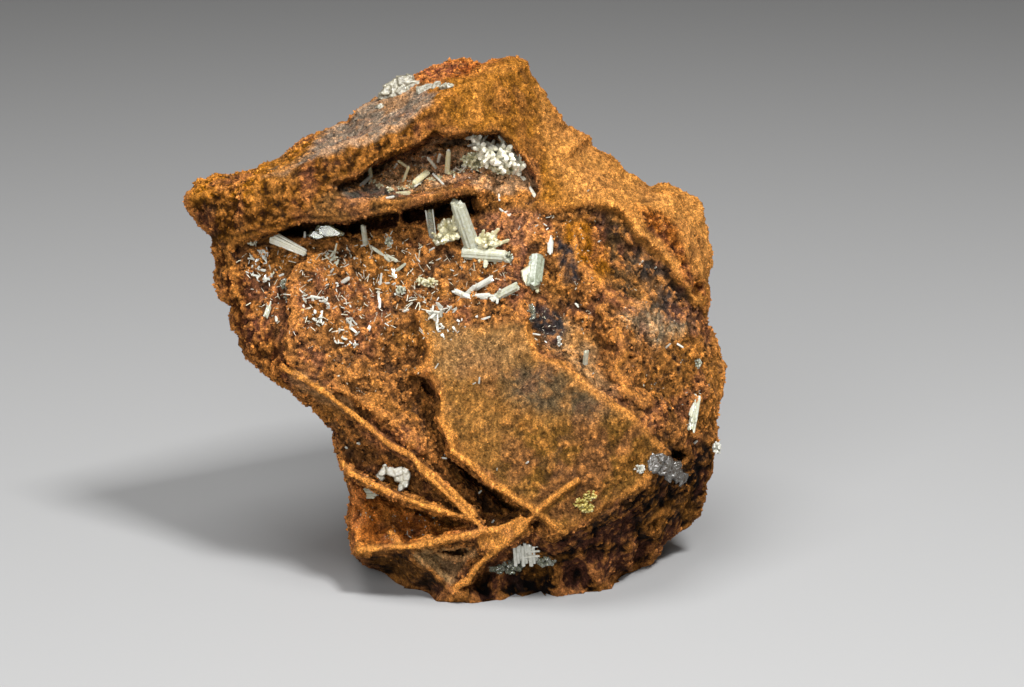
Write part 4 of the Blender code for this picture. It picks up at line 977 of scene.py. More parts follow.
def strew_grains(name, weight, count, smallest, largest, seed):
    """Angular grains half sunk in the stone, thickest where the weight is greatest. Sizes are in mm."""
    draw = np.random.default_rng(seed)
    weight = np.where((normals @ FORWARD > -0.2) & (points[:, 2] > 1.2 * MM), weight, 0)
    chosen = draw.choice(len(points), count, replace=False, p=weight / weight.sum())
    radius = (smallest + (largest - smallest) * draw.random(count) ** 3) * MM
    middle = points[chosen] + normals[chosen] * (radius * draw.uniform(-0.3, 0.3, count))[:, None]
    turns, _ = np.linalg.qr(draw.normal(size=(count, 3, 3)))
    reach = radius[:, None, None] * draw.uniform(0.55, 1.25, (count, 6, 1))
    corners = np.einsum("nij,nkj->nki", turns, GRAIN_CORNERS[None] * reach) + middle[:, None]
    faces = np.array(GRAIN_FACES)[None] + 6 * np.arange(count)[:, None, None]
    mesh = bpy.data.meshes.new(name)
    mesh.from_pydata(corners.reshape(-1, 3).tolist(), [], faces.reshape(-1, 3).tolist())
    # Each grain takes the stone's tint where it lies, its painted highlight and pit shade included, varied
    # at random.
    colour = np.clip(tint[chosen] * draw.uniform(0.6, 1.45, (count, 1)), 0.002, 1)
    tints = mesh.color_attributes.new("tint", "FLOAT_COLOR", "POINT")
    tints.data.foreach_set("color", np.repeat(np.c_[colour, np.ones(count)], 6, 0).ravel())
    looseness = mesh.attributes.new("crumbly", "FLOAT", "POINT")
    looseness.data.foreach_set("value", np.full(count * 6, 0.2))
    grains = add_object(name, mesh)
    mesh.materials.append(limonite)
    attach(grains, "root")
    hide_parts("matrix")


strew_grains("limonite_crumbs", crumbly ** 2, 24000, 0.09, 0.34, 11)
strew_grains("limonite_sand", sandy + 0.1, 24000, 0.07, 0.2, 12)

# THE TALL PRISM AND ITS GROUP
# Adamite grows as striated prisms that end in a chisel edge, or break off ragged. The tallest stands
# over the slot, with a second prism lying across its foot and a ragged yellow-green mass beside it.

SUNK = 0.4
stone_tree = BVHTree.FromObject(stone, bpy.context.evaluated_depsgraph_get())


def surface_depth(column, row):
    """How far in front of the face's plane, in mm, the stone's surface is at this place."""
    hit = stone_tree.ray_cast(EYE, (seen(column, row, 0) - EYE).normalized())[0]
    middle = seen(EYE_COLUMN, EYE_ROW, 0)
    return (hit - middle).dot((EYE - middle).normalized()) / MM


def grow_prism(shape, base, tip, width, end, flat, draw, sides=8, top="chisel"):
    """One striated prism, from `width` to `end` picture units wide. Its top is a chisel or broken."""
    along = tip - base
    along.normalize()
    side = along.cross(EYE - base).normalized()
    out = side.cross(along)
    grooves = [(360 / sides * n + draw.uniform(-12, 12), draw.uniform(0.82, 1.1)) for n in range(sides)]
    rings = []
    for part in (0, 0.4, 0.75, 1):
        half = (width + (end - width) * part) * PIXEL / 2 * draw.uniform(0.95, 1.04)
        ring = []
        for turn, reach in grooves:
            across, forward = math.cos(math.radians(turn)) * reach, math.sin(math.radians(turn)) * reach
            back = 0
            if part == 1:
                back = half * (0.9 * abs(across) if top == "chisel" else draw.uniform(0, 1.1))
            place = base.lerp(tip, part) - along * back
            ring.append(shape.verts.new(place + side * across * half + out * forward * half * flat))
        rings.append(ring)
    for lower, upper in zip(rings, rings[1:]):
        for n in range(sides):
            after = (n + 1) % sides
            shape.faces.new((lower[n], lower[after], upper[after], upper[n]))
    shape.faces.new(rings[0])
    peak = shape.verts.new(tip - along * (0 if top == "chisel" else draw.uniform(0, 0.4) * end * PIXEL))
    for n in range(sides):
        shape.faces.new((rings[-1][n], rings[-1][(n + 1) % sides], peak))


def bundle(shape, base, tip, rise, width, end=None, on=None, strands=6, flat=0.8, top="broken", fan=0.0):
    """A prism made of strands grown side by side, rooted in the stone. The tip is `rise` mm out."""
    draw = random.Random(round(base[0] * 10 + base[1] * 7))
    end = end or width
    depth = surface_depth(*(on or base))
    root, point = seen(*base, depth - SUNK), seen(*tip, depth + rise)
    along = (point - root).normalized()
    side = along.cross(EYE - root).normalized()
    out = side.cross(along)
    grow_prism(shape, root, root.lerp(point, 0.95), width * 0.8, end * 0.8, flat, draw, 10, top)
    for n in range(strands):
        turn = 2 * math.pi * (n + draw.uniform(-0.2, 0.2)) / strands
        shift = (side * math.cos(turn) + out * math.sin(turn) * flat) * PIXEL * 0.32
        reach = draw.uniform(0.86, 1.0)
        start = root + shift * width
        stop = root.lerp(point, reach) + shift * end * (1 + fan * draw.random())
        grow_prism(shape, start, stop, width * 0.4, end * 0.36, 0.9, draw, 6, top)


def blade(shape, base, tip, rise, width, end=None, on=None, flat=0.6, top="chisel", sides=8):
    """A single clean prism or needle, rooted in the stone. The tip is `rise` mm out."""
    draw = random.Random(round(base[0] * 10 + base[1] * 7))
    depth = surface_depth(*(on or base))
    grow_prism(
        shape, seen(*base, depth - SUNK), seen(*tip, depth + rise), width, end or width, flat, draw,
        sides, top,
    )


def druse(shape, middle, half_width, half_height, deep, stand=0.3, on=None, count=24, width=4.0):
    """Short prisms that stand out on all sides of a low mound, `width` picture units wide."""
    draw = random.Random(round(middle[0] * 10 + middle[1] * 7))
    depth = surface_depth(*(on or middle)) + stand
    centre = seen(*middle, depth)
    toward_eye = (EYE - centre).normalized()
    side = Vector((0, 0, 1)).cross(toward_eye).normalized() * half_width * PIXEL
    up = toward_eye.cross(side).normalized() * half_height * PIXEL
    for n in range(count):
        turn = 2.4 * n + draw.uniform(-0.3, 0.3)
        height = draw.uniform(-0.25, 1)
        spread = math.sqrt(1 - height * height) if height > 0 else 1
        way = (side * math.cos(turn) + up * math.sin(turn)) * spread + toward_eye * height * deep * MM
        root = centre + way * 0.15 - toward_eye * (stand + SUNK) * MM
        tip = centre + way * draw.uniform(0.8, 1.02)
        size = width * draw.uniform(0.6, 1.3)
        grow_prism(shape, root, tip, size, size * draw.uniform(0.7, 1), draw.uniform(0.6, 1), draw, 6)


def slab_crystal(shape, outline, front, back, on):
    """A stout crystal with this outline, its broad face `front` mm out and its back sunk."""
    depth = surface_depth(*on)
    column = sum(spot[0] for spot in outline) / len(outline)
    row = sum(spot[1] for spot in outline) / len(outline)
    corners = []
    for c, r in outline:
        corners.append(shape.verts.new(seen(c, r, depth + back)))
        corners.append(shape.verts.new(seen(c, r, depth + front * 0.6)))
        face = seen(column + (c - column) * 0.72, row + (r - row) * 0.86, depth + front)
        corners.append(shape.verts.new(face))
    wrap(shape, corners)


def lumps(shape, spots, front, back, stretch=1.0, on=None):
    """Angular crystals that crowd into one mass: the column, row and size of each."""
    draw = random.Random(len(spots))
    for column, row, size in spots:
        outline = []
        for n in range(7):
            turn, reach = n * math.tau / 7 + draw.uniform(-0.3, 0.3), size * draw.uniform(0.65, 1.2)
            outline.append((column + reach * stretch * math.cos(turn), row + reach * math.sin(turn)))
        slab_crystal(shape, outline, front * draw.uniform(0.35, 1.15), back, on or (column, row))


def show(shape, name, node, material, fused=False):
    """Makes the grown shape a piece that stands in the node's place, fused to one mass if it is one."""
    bmesh.ops.recalc_face_normals(shape, faces=shape.faces)
    piece = from_bmesh(name, shape)
    if fused:
        fusing = piece.modifiers.new("fusing", "REMESH")
        fusing.mode = "VOXEL"
        fusing.voxel_size = 0.09 * MM
        settle(piece)
        skin, out = read_mesh(piece.data)
        skin += out * (0.1 * MM * jagged(skin, 0.8, 5))[:, None]
        piece.data.vertices.foreach_set("co", skin.ravel())
    piece.data.materials.clear()
    piece.data.materials.append(material)
    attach(piece, "root")
    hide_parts(node)
    return piece


def crystal_material(name, colour, other, clear, roughness, absorb=None, density=120):
    """Adamite: two tints in streaks, fine cracks in its surface, and clear or milky inside."""
    material, shader = new_material(
        name, Roughness=roughness, IOR=1.72, Transmission_Weight=clear, Specular_IOR_Level=0.5,
    )
    where = add_node(material, "ShaderNodeNewGeometry")
    streaks = add_node(material, "ShaderNodeTexNoise", Scale=2200, Detail=4, Roughness=0.7)
    ramp = add_node(material, "ShaderNodeMix", data_type="RGBA")
    ramp.inputs[6].default_value = (*linear(*colour), 1)
    ramp.inputs[7].default_value = (*linear(*other), 1)
    spread = add_node(material, "ShaderNodeMapRange", From_Min=0.35, From_Max=0.65)
    cracks = add_node(material, "ShaderNodeTexNoise", Scale=4000, Detail=2)
    bump = add_node(material, "ShaderNodeBump", Strength=0.35, Distance=0.0001)
    join(where, "Position", streaks, "Vector")
    join(where, "Position", cracks, "Vector")
    join(streaks, "Fac", spread, "Value")
    join(spread, "Result", ramp, "Factor")
    join(ramp, 2, shader, "Base Color")
    join(cracks, "Fac", bump, "Height")
    join(bump, "Normal", shader, "Normal")
    if absorb:
        inside = add_node(material, "ShaderNodeVolumeAbsorption", Density=density)
        inside.inputs["Color"].default_value = (*linear(*absorb), 1)
        join(inside, "Volume", material.node_tree.nodes["Material Output"], "Volume")
    return material


milky = crystal_material("milky adamite", (236, 238, 222), (206, 204, 172), 0.5, 0.1)
white = crystal_material("white adamite", (232, 232, 222), (200, 198, 182), 0.25, 0.12)
green = crystal_material("yellow-green adamite", (255, 251, 222), (240, 230, 176), 0.5, 0.08)
# A brighter copy of white adamite, as painted light, for crystals that lie in shade.
bright = crystal_material("adamite painted bright against shade", (255, 253, 240), (240, 234, 206), 0.2, 0.14)
clear = crystal_material(
    "clear adamite", (244, 246, 232), (232, 236, 205), 0.85, 0.06, absorb=(225, 228, 170), density=200,
)

shape = bmesh.new()
bundle(shape, (473, 248), (455.5, 199), 3.2, 15.5, 14.5, strands=8, flat=0.85)
show(shape, "tall_prism", "adamite_centre_cluster", milky)

shape = bmesh.new()
druse(shape, (488, 243), 16, 11, 1.7, 0.5, on=(486, 243), count=34, width=7.5)
druse(shape, (488, 262), 18, 7, 1.3, 0.4, on=(486, 243), count=22, width=6)
for base, tip, width in [
    ((484, 246), (499, 228.5), 5), ((480, 243), (484, 230), 4), ((492, 246), (509, 240), 4.5),
    ((494, 262), (512, 268), 4.5), ((488, 244), (493, 231), 3.5), ((482, 262), (480, 272), 4),
]:
    blade(shape, base, tip, 1.8, width, width * 0.75, on=(486, 243), flat=0.8)
show(shape, "ragged_mass", "adamite_centre_cluster", green)

shape = bmesh.new()
druse(shape, (450, 231), 13, 13, 1.8, 0.8, on=(447, 240), count=34, width=7.5)
druse(shape, (441, 238), 9, 7, 1.4, 0.8, on=(447, 240), count=14, width=6)
for base, tip, width in [
    ((446, 232), (444, 219), 4), ((452, 230), (454, 215), 4.5), ((456, 236), (464, 228), 4),
    ((440, 238), (432, 233), 4),
]:
    blade(shape, base, tip, 2.2, width, width * 0.7, on=(447, 240), flat=0.8)
show(shape, "yellow_knot", "adamite_centre_cluster", green)

shape = bmesh.new()
bundle(shape, (463, 253), (512, 257), 1.5, 13, 12, strands=8, flat=0.9)
blade(shape, (486, 256), (485, 268), 1.5, 6, 4)
druse(shape, (509, 257), 5, 6, 0.9, 0.5, on=(505, 262), count=16, width=3)
show(shape, "crossing_prism", "adamite_centre_cluster", milky)

shape = bmesh.new()
blade(shape, (432, 239), (428.5, 208.5), 1.6, 8.2, on=(447, 240), flat=0.8, top="broken", sides=6)
show(shape, "clear_prism", "adamite_centre_cluster", clear)
# Painted highlight: thin white blades along the clear prism's two edges and across its foot stand for the
# light on its edges.
shape = bmesh.new()
for base, tip, width in [
    ((430, 238), (425.5, 210), 1.6), ((436, 239), (432.5, 209), 1.6), ((437, 240), (449, 240.5), 2.2),
]:
    blade(shape, base, tip, 1.8, width, on=(447, 240))
show(shape, "clear_prism_edge_highlights", "adamite_centre_cluster", white)

# THE BLOCKY PRISM
# One stout crystal with a broad striated face and a clean end, half out of a dark pocket. A narrower
# yellow-green one is grown along its left side.

shape = bmesh.new()
blade(shape, (537.5, 256), (534, 289), 1.9, 15, 14, on=(533, 272), flat=0.75, top="chisel")
for n, column in enumerate((528, 530.5, 533, 535.5, 538, 540.5)):
    blade(shape, (column + 2.6, 257 + n % 3), (column, 286 - n % 3 * 2), 2.1, 3.8, 3.4,
          on=(533, 272), flat=0.9, top="broken")
pale = crystal_material("pale adamite", (172, 178, 158), (136, 142, 118), 0.4, 0.12)
show(shape, "blocky_prism", "adamite_blocky_prism", pale)
shape = bmesh.new()
slab_crystal(shape, [
    (526, 267), (531, 264), (532, 286), (526.7, 287.4), (522, 279.7), (520.5, 271),
], 1.2, -0.6, (533, 272))
blade(shape, (536, 281), (537.5, 292.5), 1.5, 4, on=(533, 272))
druse(shape, (533, 286), 7, 3.5, 1.0, 0.6, on=(533, 272), count=12, width=3)
show(shape, "blocky_prism_side", "adamite_blocky_prism", green)

# SEPARATE PRISMS
# Single prisms and pairs that lie or stand on the crumbly face. Most are milky bundles of thinner
# strands, brightest at their broken ends.

shape = bmesh.new()
bundle(shape, (272, 237), (309, 254.5), 0.8, 13, 7.5, strands=7)
blade(shape, (290, 246), (311, 257), 0.8, 3.5, 2)
# Painted light: the brighter adamite, where the slab shades this prism.
show(shape, "left_prism", "adamite_left_prism", bright)

shape = bmesh.new()
slab_crystal(shape, [(307, 236), (312, 231), (324, 231), (325, 238), (316, 239.5)], 1.2, -1.2, (316, 243))
slab_crystal(shape, [
    (315, 229), (318, 225), (330, 225), (344.6, 233), (343, 236), (326, 237), (316, 234),
], 1.4, -1.4, (330, 243))
show(shape, "slot_wedge", "adamite_slot_wedge", clear)

shape = bmesh.new()
bundle(shape, (372, 277), (362.5, 306), 0.7, 7.5, 6, strands=5)
blade(shape, (375, 278), (371, 298), 0.6, 4, 3)
show(shape, "twin_prisms", "adamite_twin_prisms", white)

shape = bmesh.new()
bundle(shape, (379, 281), (379.4, 294), 0.8, 6.6, 6, strands=4)
blade(shape, (379.5, 288), (379.4, 308.5), 0.8, 4.5, 3.2)
blade(shape, (380, 286), (381.6, 273), 0.6, 3.5, 2.5)
show(shape, "fang_prism", "adamite_fang_prism", white)

shape = bmesh.new()
blade(shape, (387, 258), (371.5, 246.8), 0.7, 4.5, 3, on=(385, 257))
blade(shape, (383, 255), (389.5, 261.4), 0.9, 4, 3, on=(385, 257))
blade(shape, (385, 255), (398, 261.5), 0.8, 4.5, 3.5, on=(385, 257))
bundle(shape, (389, 259), (396.5, 281.5), 0.7, 6, 5, on=(389, 259), strands=4)
blade(shape, (394, 273), (406, 263.3), 0.6, 3.8, 3, on=(393, 271))
show(shape, "falling_chain", "adamite_falling_chain", milky)

shape = bmesh.new()
bundle(shape, (494, 298), (520, 284.5), 1.2, 9, strands=6, flat=0.9)
show(shape, "cream_prism", "adamite_cream_prism", milky)
shape = bmesh.new()
for tip, width in [
    ((492, 301), 3.5), ((489, 296), 3), ((497, 303.5), 2.5), ((490, 299), 2.5), ((500, 289), 2.5),
]:
    blade(shape, (498, 296), tip, 1.4, width, on=(494, 298))
show(shape, "cream_prism_end", "adamite_cream_prism", white)

shape = bmesh.new()
bundle(shape, (474, 300), (452, 289.5), 0.6, 6, 5, on=(470, 297), strands=4)
blade(shape, (466, 295), (476, 285.5), 0.9, 4.5, on=(470, 294))
bundle(shape, (474, 289), (494, 277.5), 1.1, 6.5, on=(470, 294), strands=4)
blade(shape, (468, 296.5), (491, 295), 0.9, 4.5, on=(470, 296))
blade(shape, (474, 299), (488, 298), 0.8, 3, on=(470, 296))
show(shape, "white_chain", "adamite_white_chain", white)

shape = bmesh.new()
blade(shape, (341, 283.5), (331.6, 283.8), 0.7, 4)
blade(shape, (340, 284), (349.6, 277.5), 0.7, 4.3)
blade(shape, (342, 284), (334, 287), 0.5, 2.4)
show(shape, "bent_prism", "adamite_bent_prism", white)

shape = bmesh.new()
druse(shape, (559, 338.5), 2.6, 2.8, 0.7, 0.2, on=(559, 346.5), count=8, width=2.4)
druse(shape, (559.4, 344), 2.3, 2.6, 0.7, 0.2, on=(559, 346.5), count=8, width=2.2)
blade(shape, (559, 346.5), (559.3, 336), 0.7, 3.4)
show(shape, "gully_prism", "adamite_gully_prism", white)

shape = bmesh.new()
draw = random.Random(8)
for n in range(16):
    across, start = draw.uniform(-4, 4), draw.uniform(0, 14)
    blade(shape, (697 + across * 0.8, 394 + start), (692 + across, 418 + start + draw.uniform(-4, 3)),
          draw.uniform(0.5, 1.2), draw.uniform(2, 3.4), on=(694, 404), flat=0.7)
for n in range(6):
    across = draw.uniform(-2.5, 2.5)
    blade(shape, (692 + across, 411), (682.5 + across, 436 + across), draw.uniform(0.4, 1), 2.6, 1.8,
          on=(694, 404))
show(shape, "right_edge_prism", "adamite_right_edge_prism", milky)

# Bundles that stand alone: the finish, root and tip, how far the tip stands out in mm, the widths at
# root and tip in picture units, and the strands of each.
for name, finish, root, tip, rise, width, end, strands in [
    ("hanging_prism", milky, (366, 247), (363, 224), 1.8, 5.5, 5.5, 4),
    ("sill_prism", white, (500.5, 210), (510.5, 218), 0.9, 8, 8, 4),
    ("east_prism", white, (550.5, 235), (550, 255.5), 0.7, 6.5, 5.5, 4),
    ("pale_prism", milky, (272.5, 297), (265, 318.3), 0.7, 5.2, 5.2, 4),
    ("south_prism", white, (372.7, 319.5), (368.2, 331.3), 0.6, 4, 4, 3),
    ("slope_prism", milky, (585, 366), (586.5, 349.4), 0.9, 5, 5, 4),
]:
    shape = bmesh.new()
    bundle(shape, root, tip, rise, width, end, strands=strands)
    show(shape, name, "adamite_" + name, finish)

# SPRAYS OF NEEDLES_AND_GLINTS
# Where many crystals started from one point they fan out over the crumbly face as sprays of short
# needles, white at their broken tips and crossed by shorter ones.


def spray(shape, middle, tips, rise, width, on=None):
    """Needles to these tips, leaning roughly away from the middle, with shorter ones across them."""
    for column, row in tips:
        draw = random.Random(round(column * 10 + row))
        away = math.atan2(row - middle[1], column - middle[0])
        for share in (1, 0.6, 0.45):
            turn = away + draw.uniform(-0.9, 0.9) / share
            length = draw.uniform(7, 12) * share
            stray = 2.5 * (1 - share)
            tip = (column + draw.uniform(-stray, stray) * 2, row + draw.uniform(-stray, stray) * 2)
            base = (tip[0] - length * math.cos(turn), tip[1] - length * math.sin(turn))
            size = width * draw.uniform(0.55, 1.1) * share ** 0.5
            blade(shape, base, tip, rise * draw.uniform(0.3, 1.1), size, size * 0.7, on=on or middle)


# Each spray's middle, how far its tips stand out in mm, its needles' width, and their tips.
for name, middle, rise, width, tips in [
    ("west_chain", (260, 256), 0.5, 3, [
        (247.5, 258), (250, 255), (266.5, 262), (265, 259), (264, 249.5), (267, 253), (255, 262),
        (261, 250),
    ]),
    ("west_rods", (262, 273), 0.5, 3.4, [
        (253.5, 266.3), (258, 267), (265.7, 271), (252.5, 275), (257, 279), (272, 276), (270, 279),
        (266, 280),
    ]),
    ("west_spray", (312, 304), 0.6, 3.4, [
        (321.5, 323.3), (317, 321), (320.7, 318.3), (329.4, 304.7), (326, 301.5), (321, 298),
        (312.3, 296.5), (303, 297.5), (306, 309), (315, 314),
    ]),
    ("south_spray", (350, 333), 0.7, 3.2, [
        (355.8, 346), (352, 344), (346, 319), (351, 320), (338.5, 342.5), (342, 338), (357, 333),
        (347, 345), (340, 330),
    ]),
]:
    shape = bmesh.new()
    spray(shape, middle, tips, rise, width)
    show(shape, name, "adamite_" + name, white)

shape = bmesh.new()
spray(shape, (331, 261), [
    (325, 255), (328, 252.5), (334, 252), (337, 257), (337, 264), (333, 269), (327, 268), (325, 262),
], 0.7, 3)
blade(shape, (333, 259), (336.8, 243.2), 1.2, 2.6, 1.6, on=(331, 261))
show(shape, "fuzz_spray", "adamite_fuzz_spray", milky)

shape = bmesh.new()
spray(shape, (446, 317), [
    (426, 311), (431, 308.5), (430.3, 318.5), (465.5, 326.6), (460, 322), (436, 302), (457, 308.3),
    (452, 306), (438, 331), (442, 329), (448.5, 331.5), (449, 342.6), (444, 338), (441, 309), (455, 330),
    (437, 324),
], 0.7, 3.2)
blade(shape, (444, 312.6), (426, 311), 0.8, 2.4, on=(446, 318))
show(shape, "east_spray", "adamite_east_spray", white)

shape = bmesh.new()
for row in (489, 491.5, 494.5, 497):
    blade(shape, (359, row), (380 - abs(row - 492), row + 0.3), 0.6, 3, on=(366, 493))
show(shape, "rods", "adamite_rods", milky)

# DRUSES
# Many short crystals share one base and coat it as a bright rough skin. Each druse is one low mound or
# several, and the crescent and the foot's druse fill pits between the thin walls.

# Each druse's mounds: their middle and half sizes, how far in mm they stand and are sunk, the place they
# lie on where it isn't their middle, and the count and width of their crystals.
yellow = crystal_material("yellow adamite", (220, 200, 118), (166, 150, 72), 0.25, 0.15)
for name, finish, mounds in [
    ("upper_knob", milky, [((389, 242), 4.5, 6, 1.0, 0.2, None, 20, 3)]),
    ("chip", milky, [((252, 241.5), 5.5, 4.2, 0.8, 0.1, None, 16, 3.4)]),
    ("grey_druse", clear, [
        ((285.5, 284), 6, 6.6, 1.0, 0.2, None, 22, 3.6), ((288, 296), 5, 5.5, 1.0, 0.2, (286, 289), 16, 3),
    ]),
    ("middle_knot", green, [
        ((421, 282), 6, 5, 1.0, 0.2, None, 22, 3.4), ((431, 283), 8.5, 5.5, 1.0, 0.2, None, 26, 3.4),
    ]),
    ("pale_knot", milky, [((401, 290), 6, 5, 0.8, 0.1, None, 22, 3.2)]),
    ("pale_druse", clear, [((531, 313), 5.5, 10, 0.9, 0.1, None, 26, 3.4)]),
    ("edge_druse", milky, [((697, 363), 5.5, 6.5, 0.9, 0.1, None, 22, 2.8)]),
    ("rim_druse", white, [((717, 448), 5, 7, 1.0, 0.2, (709, 448), 24, 3.2)]),
    ("yellow_druse", yellow, [
        ((581, 503), 8, 5.5, 0.9, 0.2, (586, 502), 34, 2.8),
        ((590, 496), 7.5, 6.5, 0.9, 0.2, (586, 502), 34, 2.8),
        ((587, 508), 8.5, 5.5, 0.9, 0.2, (586, 502), 34, 2.8),
    ]),
]:
    shape = bmesh.new()
    for mound in mounds:
        druse(shape, *mound)
    show(shape, name, "adamite_" + name, finish)

shape = bmesh.new()
lumps(shape, [
    (380, 478, 5), (383, 472, 5.5), (388, 467, 5.5), (394, 464, 5), (401, 465, 5.5), (406, 470, 5.5),
    (407, 477, 5.5), (405, 484, 5), (401, 488, 4), (398, 471, 6), (391, 472, 6), (399, 478, 6),
], 1.7, -0.6, on=(396, 478))
# Painted light: the brighter adamite, where little light reaches the crescent.
show(shape, "crescent", "adamite_crescent", bright, fused=True)

shape = bmesh.new()
druse(shape, (506, 566), 20, 9, 1.3, 0.4, on=(516, 562), count=70, width=4.6)
show(shape, "foot_druse", "adamite_foot_druse", clear)
shape = bmesh.new()
for n in range(9):
    column = 515 + n * 2.6
    blade(shape, (column + 1, 566 - n % 3 * 3), (column - 1 + n % 2, 543 + n % 4), 1.4, 4, 3.4,
          on=(524, 552), flat=0.6, top="broken")
for row in (547, 552, 557):
    blade(shape, (515, row + 1), (540, row - 1), 1.7, 3, 2.2, on=(524, 552), flat=0.5)
show(shape, "foot_blades", "adamite_foot_druse", white)
shape = bmesh.new()
druse(shape, (546, 559), 12, 9, 1.3, 0.5, on=(540, 560), count=34, width=6)
show(shape, "foot_clear_druse", "adamite_foot_druse", clear)

# THE CRUST ON THE TOP
# A thin milky crust lies in a dip behind the slab's crest, with a second patch along the same crack.

waxy = crystal_material("waxy adamite", (186, 180, 158), (104, 98, 80), 0.3, 0.2)
shape = bmesh.new()
lumps(shape, [
    (384, 96, 5), (387, 91, 6), (392, 88, 7), (395, 94, 6), (398, 85, 7), (402, 91, 7), (403, 81, 6),
    (408, 87, 7), (409, 80, 5.5), (414, 85, 6.5), (412, 92, 5), (419, 87, 6),
], 0.9, -1.6, 1.3, (402, 92))
lumps(shape, [(421, 90, 5), (426, 88, 5), (431, 87, 4.5), (437, 86, 4.5), (380, 107, 3)], 0.6, -0.8, 1.3)
show(shape, "top_crust", "adamite_top_crust", waxy, fused=True)
shape = bmesh.new()
druse(shape, (447, 87), 9, 4, 0.9, 0.1, count=40, width=4)
show(shape, "crest_crust", "adamite_crest_crust", waxy, fused=True)

# THE HOLLOW'S CRUST
# The long hollow under the slab is lined with crystals on its floor and back. The thickest tangle
# fills its right end, and longer prisms lean out from it.

shape = bmesh.new()
for place in [
    (372, 182), (380, 186), (389, 190), (400, 189), (410, 187), (420, 184), (430, 181), (440, 178),
    (452, 174), (462, 172), (474, 170), (486, 168), (498, 167),
]:
    druse(shape, place, 6, 4, 0.7, 0, count=9, width=2.6)
druse(shape, (504, 165), 16, 10, 1.6, 1.8, on=(500, 165), count=60, width=4.5)
druse(shape, (479, 160), 20, 9, 1.8, 1.2, on=(500, 165), count=60, width=4)
blade(shape, (428, 172), (413, 184), 1.8, 6, 5.5, on=(430, 180))
blade(shape, (447, 173), (448.6, 150), 2.2, 6, 5, on=(448, 176))
blade(shape, (396, 194), (410.6, 193), 1.0, 5, flat=0.4)
blade(shape, (371, 177), (369, 165), 1.2, 4.5, on=(371, 181))
blade(shape, (403, 182), (409, 166), 1.5, 3.4, on=(412, 187))
blade(shape, (409, 168), (398, 160.5), 1.5, 3, on=(412, 187))
show(shape, "hollow_crust", "adamite_hollow_crust", green)

shape = bmesh.new()
draw = random.Random(31)
for n in range(70):
    share = draw.random()
    column, row = 480 + share * 36 + draw.uniform(-9, 9), 144 + share * 24 + draw.uniform(-9, 9)
    turn, length = draw.uniform(0, math.tau), draw.uniform(4, 9)
    base = (column - length * math.cos(turn), row - length * math.sin(turn))
    tip = (column + length * math.cos(turn), row + length * math.sin(turn))
    blade(shape, base, tip, draw.uniform(2.5, 5.5), draw.uniform(3.4, 6), on=(500, 165), flat=0.8,
          top=draw.choice(("chisel", "broken")))
bundle(shape, (504, 168), (506.5, 188), 2, 6, 5, on=(500, 165), strands=5)
bundle(shape, (513, 169), (525.8, 181.6), 1.6, 5.4, 4.6, on=(500, 165), strands=4)
blade(shape, (528, 186), (537.6, 199.8), 1.2, 4.4, 3.6, on=(529, 188))
blade(shape, (514, 165), (527, 168.6), 1.2, 3.4, on=(500, 165))
spray(shape, (508, 158), [
    (514, 150), (517, 156), (519, 162), (512, 146), (504, 143), (499, 137), (516, 168), (520, 174),
], 2, 3.4, on=(500, 165))
# Painted light: the brighter adamite, in the hollow's shade.
show(shape, "hollow_tangle", "adamite_hollow_crust", bright)

shape = bmesh.new()
for base, tip, rise, width, on in [
    ((370, 177), (360.4, 186), 1.6, 4, (371, 181)), ((424, 179), (414.5, 186.8), 2.0, 2.6, (430, 180)),
    ((436, 168), (427.6, 157.4), 2.0, 3, (446, 176)), ((438, 162), (440, 154), 2.0, 3, (446, 176)),
    ((433, 173.6), (443.8, 184.6), 2.0, 2.6, (446, 176)), ((384, 198.4), (394.3, 196.6), 0.8, 2.4, None),
    ((448, 156), (448.6, 150), 2.5, 4, (448, 176)), ((468, 146), (476, 143.6), 2.0, 2.6, (500, 165)),
    ((394.4, 168), (397, 164), 1.6, 2.4, (412, 187)), ((498.5, 190.5), (499.5, 201), 0.8, 2.2, None),
]:
    blade(shape, base, tip, rise, width, on=on)
tips = [(471, 170), (481, 172), (466, 162), (486, 158), (490, 170)]
spray(shape, (478, 163), tips, 2, 2.4, on=(500, 165))
tips = [(454, 178), (470, 178), (456, 168), (466, 166)]
spray(shape, (462, 172), tips, 1.6, 2.4, on=(470, 170))
show(shape, "hollow_needles", "adamite_hollow_crust", white)

# THE CLOUDY CORNER
# Grey-blue cleavage pieces of calcite, the cloudy mineral that often goes with adamite, fill a pit at
# the lower right, grown together to one mass.

grey = crystal_material("calcite", (100, 98, 92), (56, 40, 22), 0.3, 0.25)
shape = bmesh.new()
lumps(shape, [
    (654, 465, 9), (658, 459, 8), (661, 468, 9), (669, 470, 10), (667, 475, 8), (677, 473, 9),
    (683, 477, 7), (652, 459, 6), (664, 463, 8), (673, 467, 8), (680, 480, 6),
], 0.6, -1.6)
show(shape, "calcite_corner", "calcite_corner", grey, fused=True)

# FINE NEEDLES_AND_GLINTS
# Needles and splinters of adamite too small to be parts of their own lie over the crumbly face. The
# clearest are placed one by one, from root to tip, and the rest are strewn as thickly as they lie. Many of
# the placed ones are white needles where small crystals catch the light, partly painted glints.

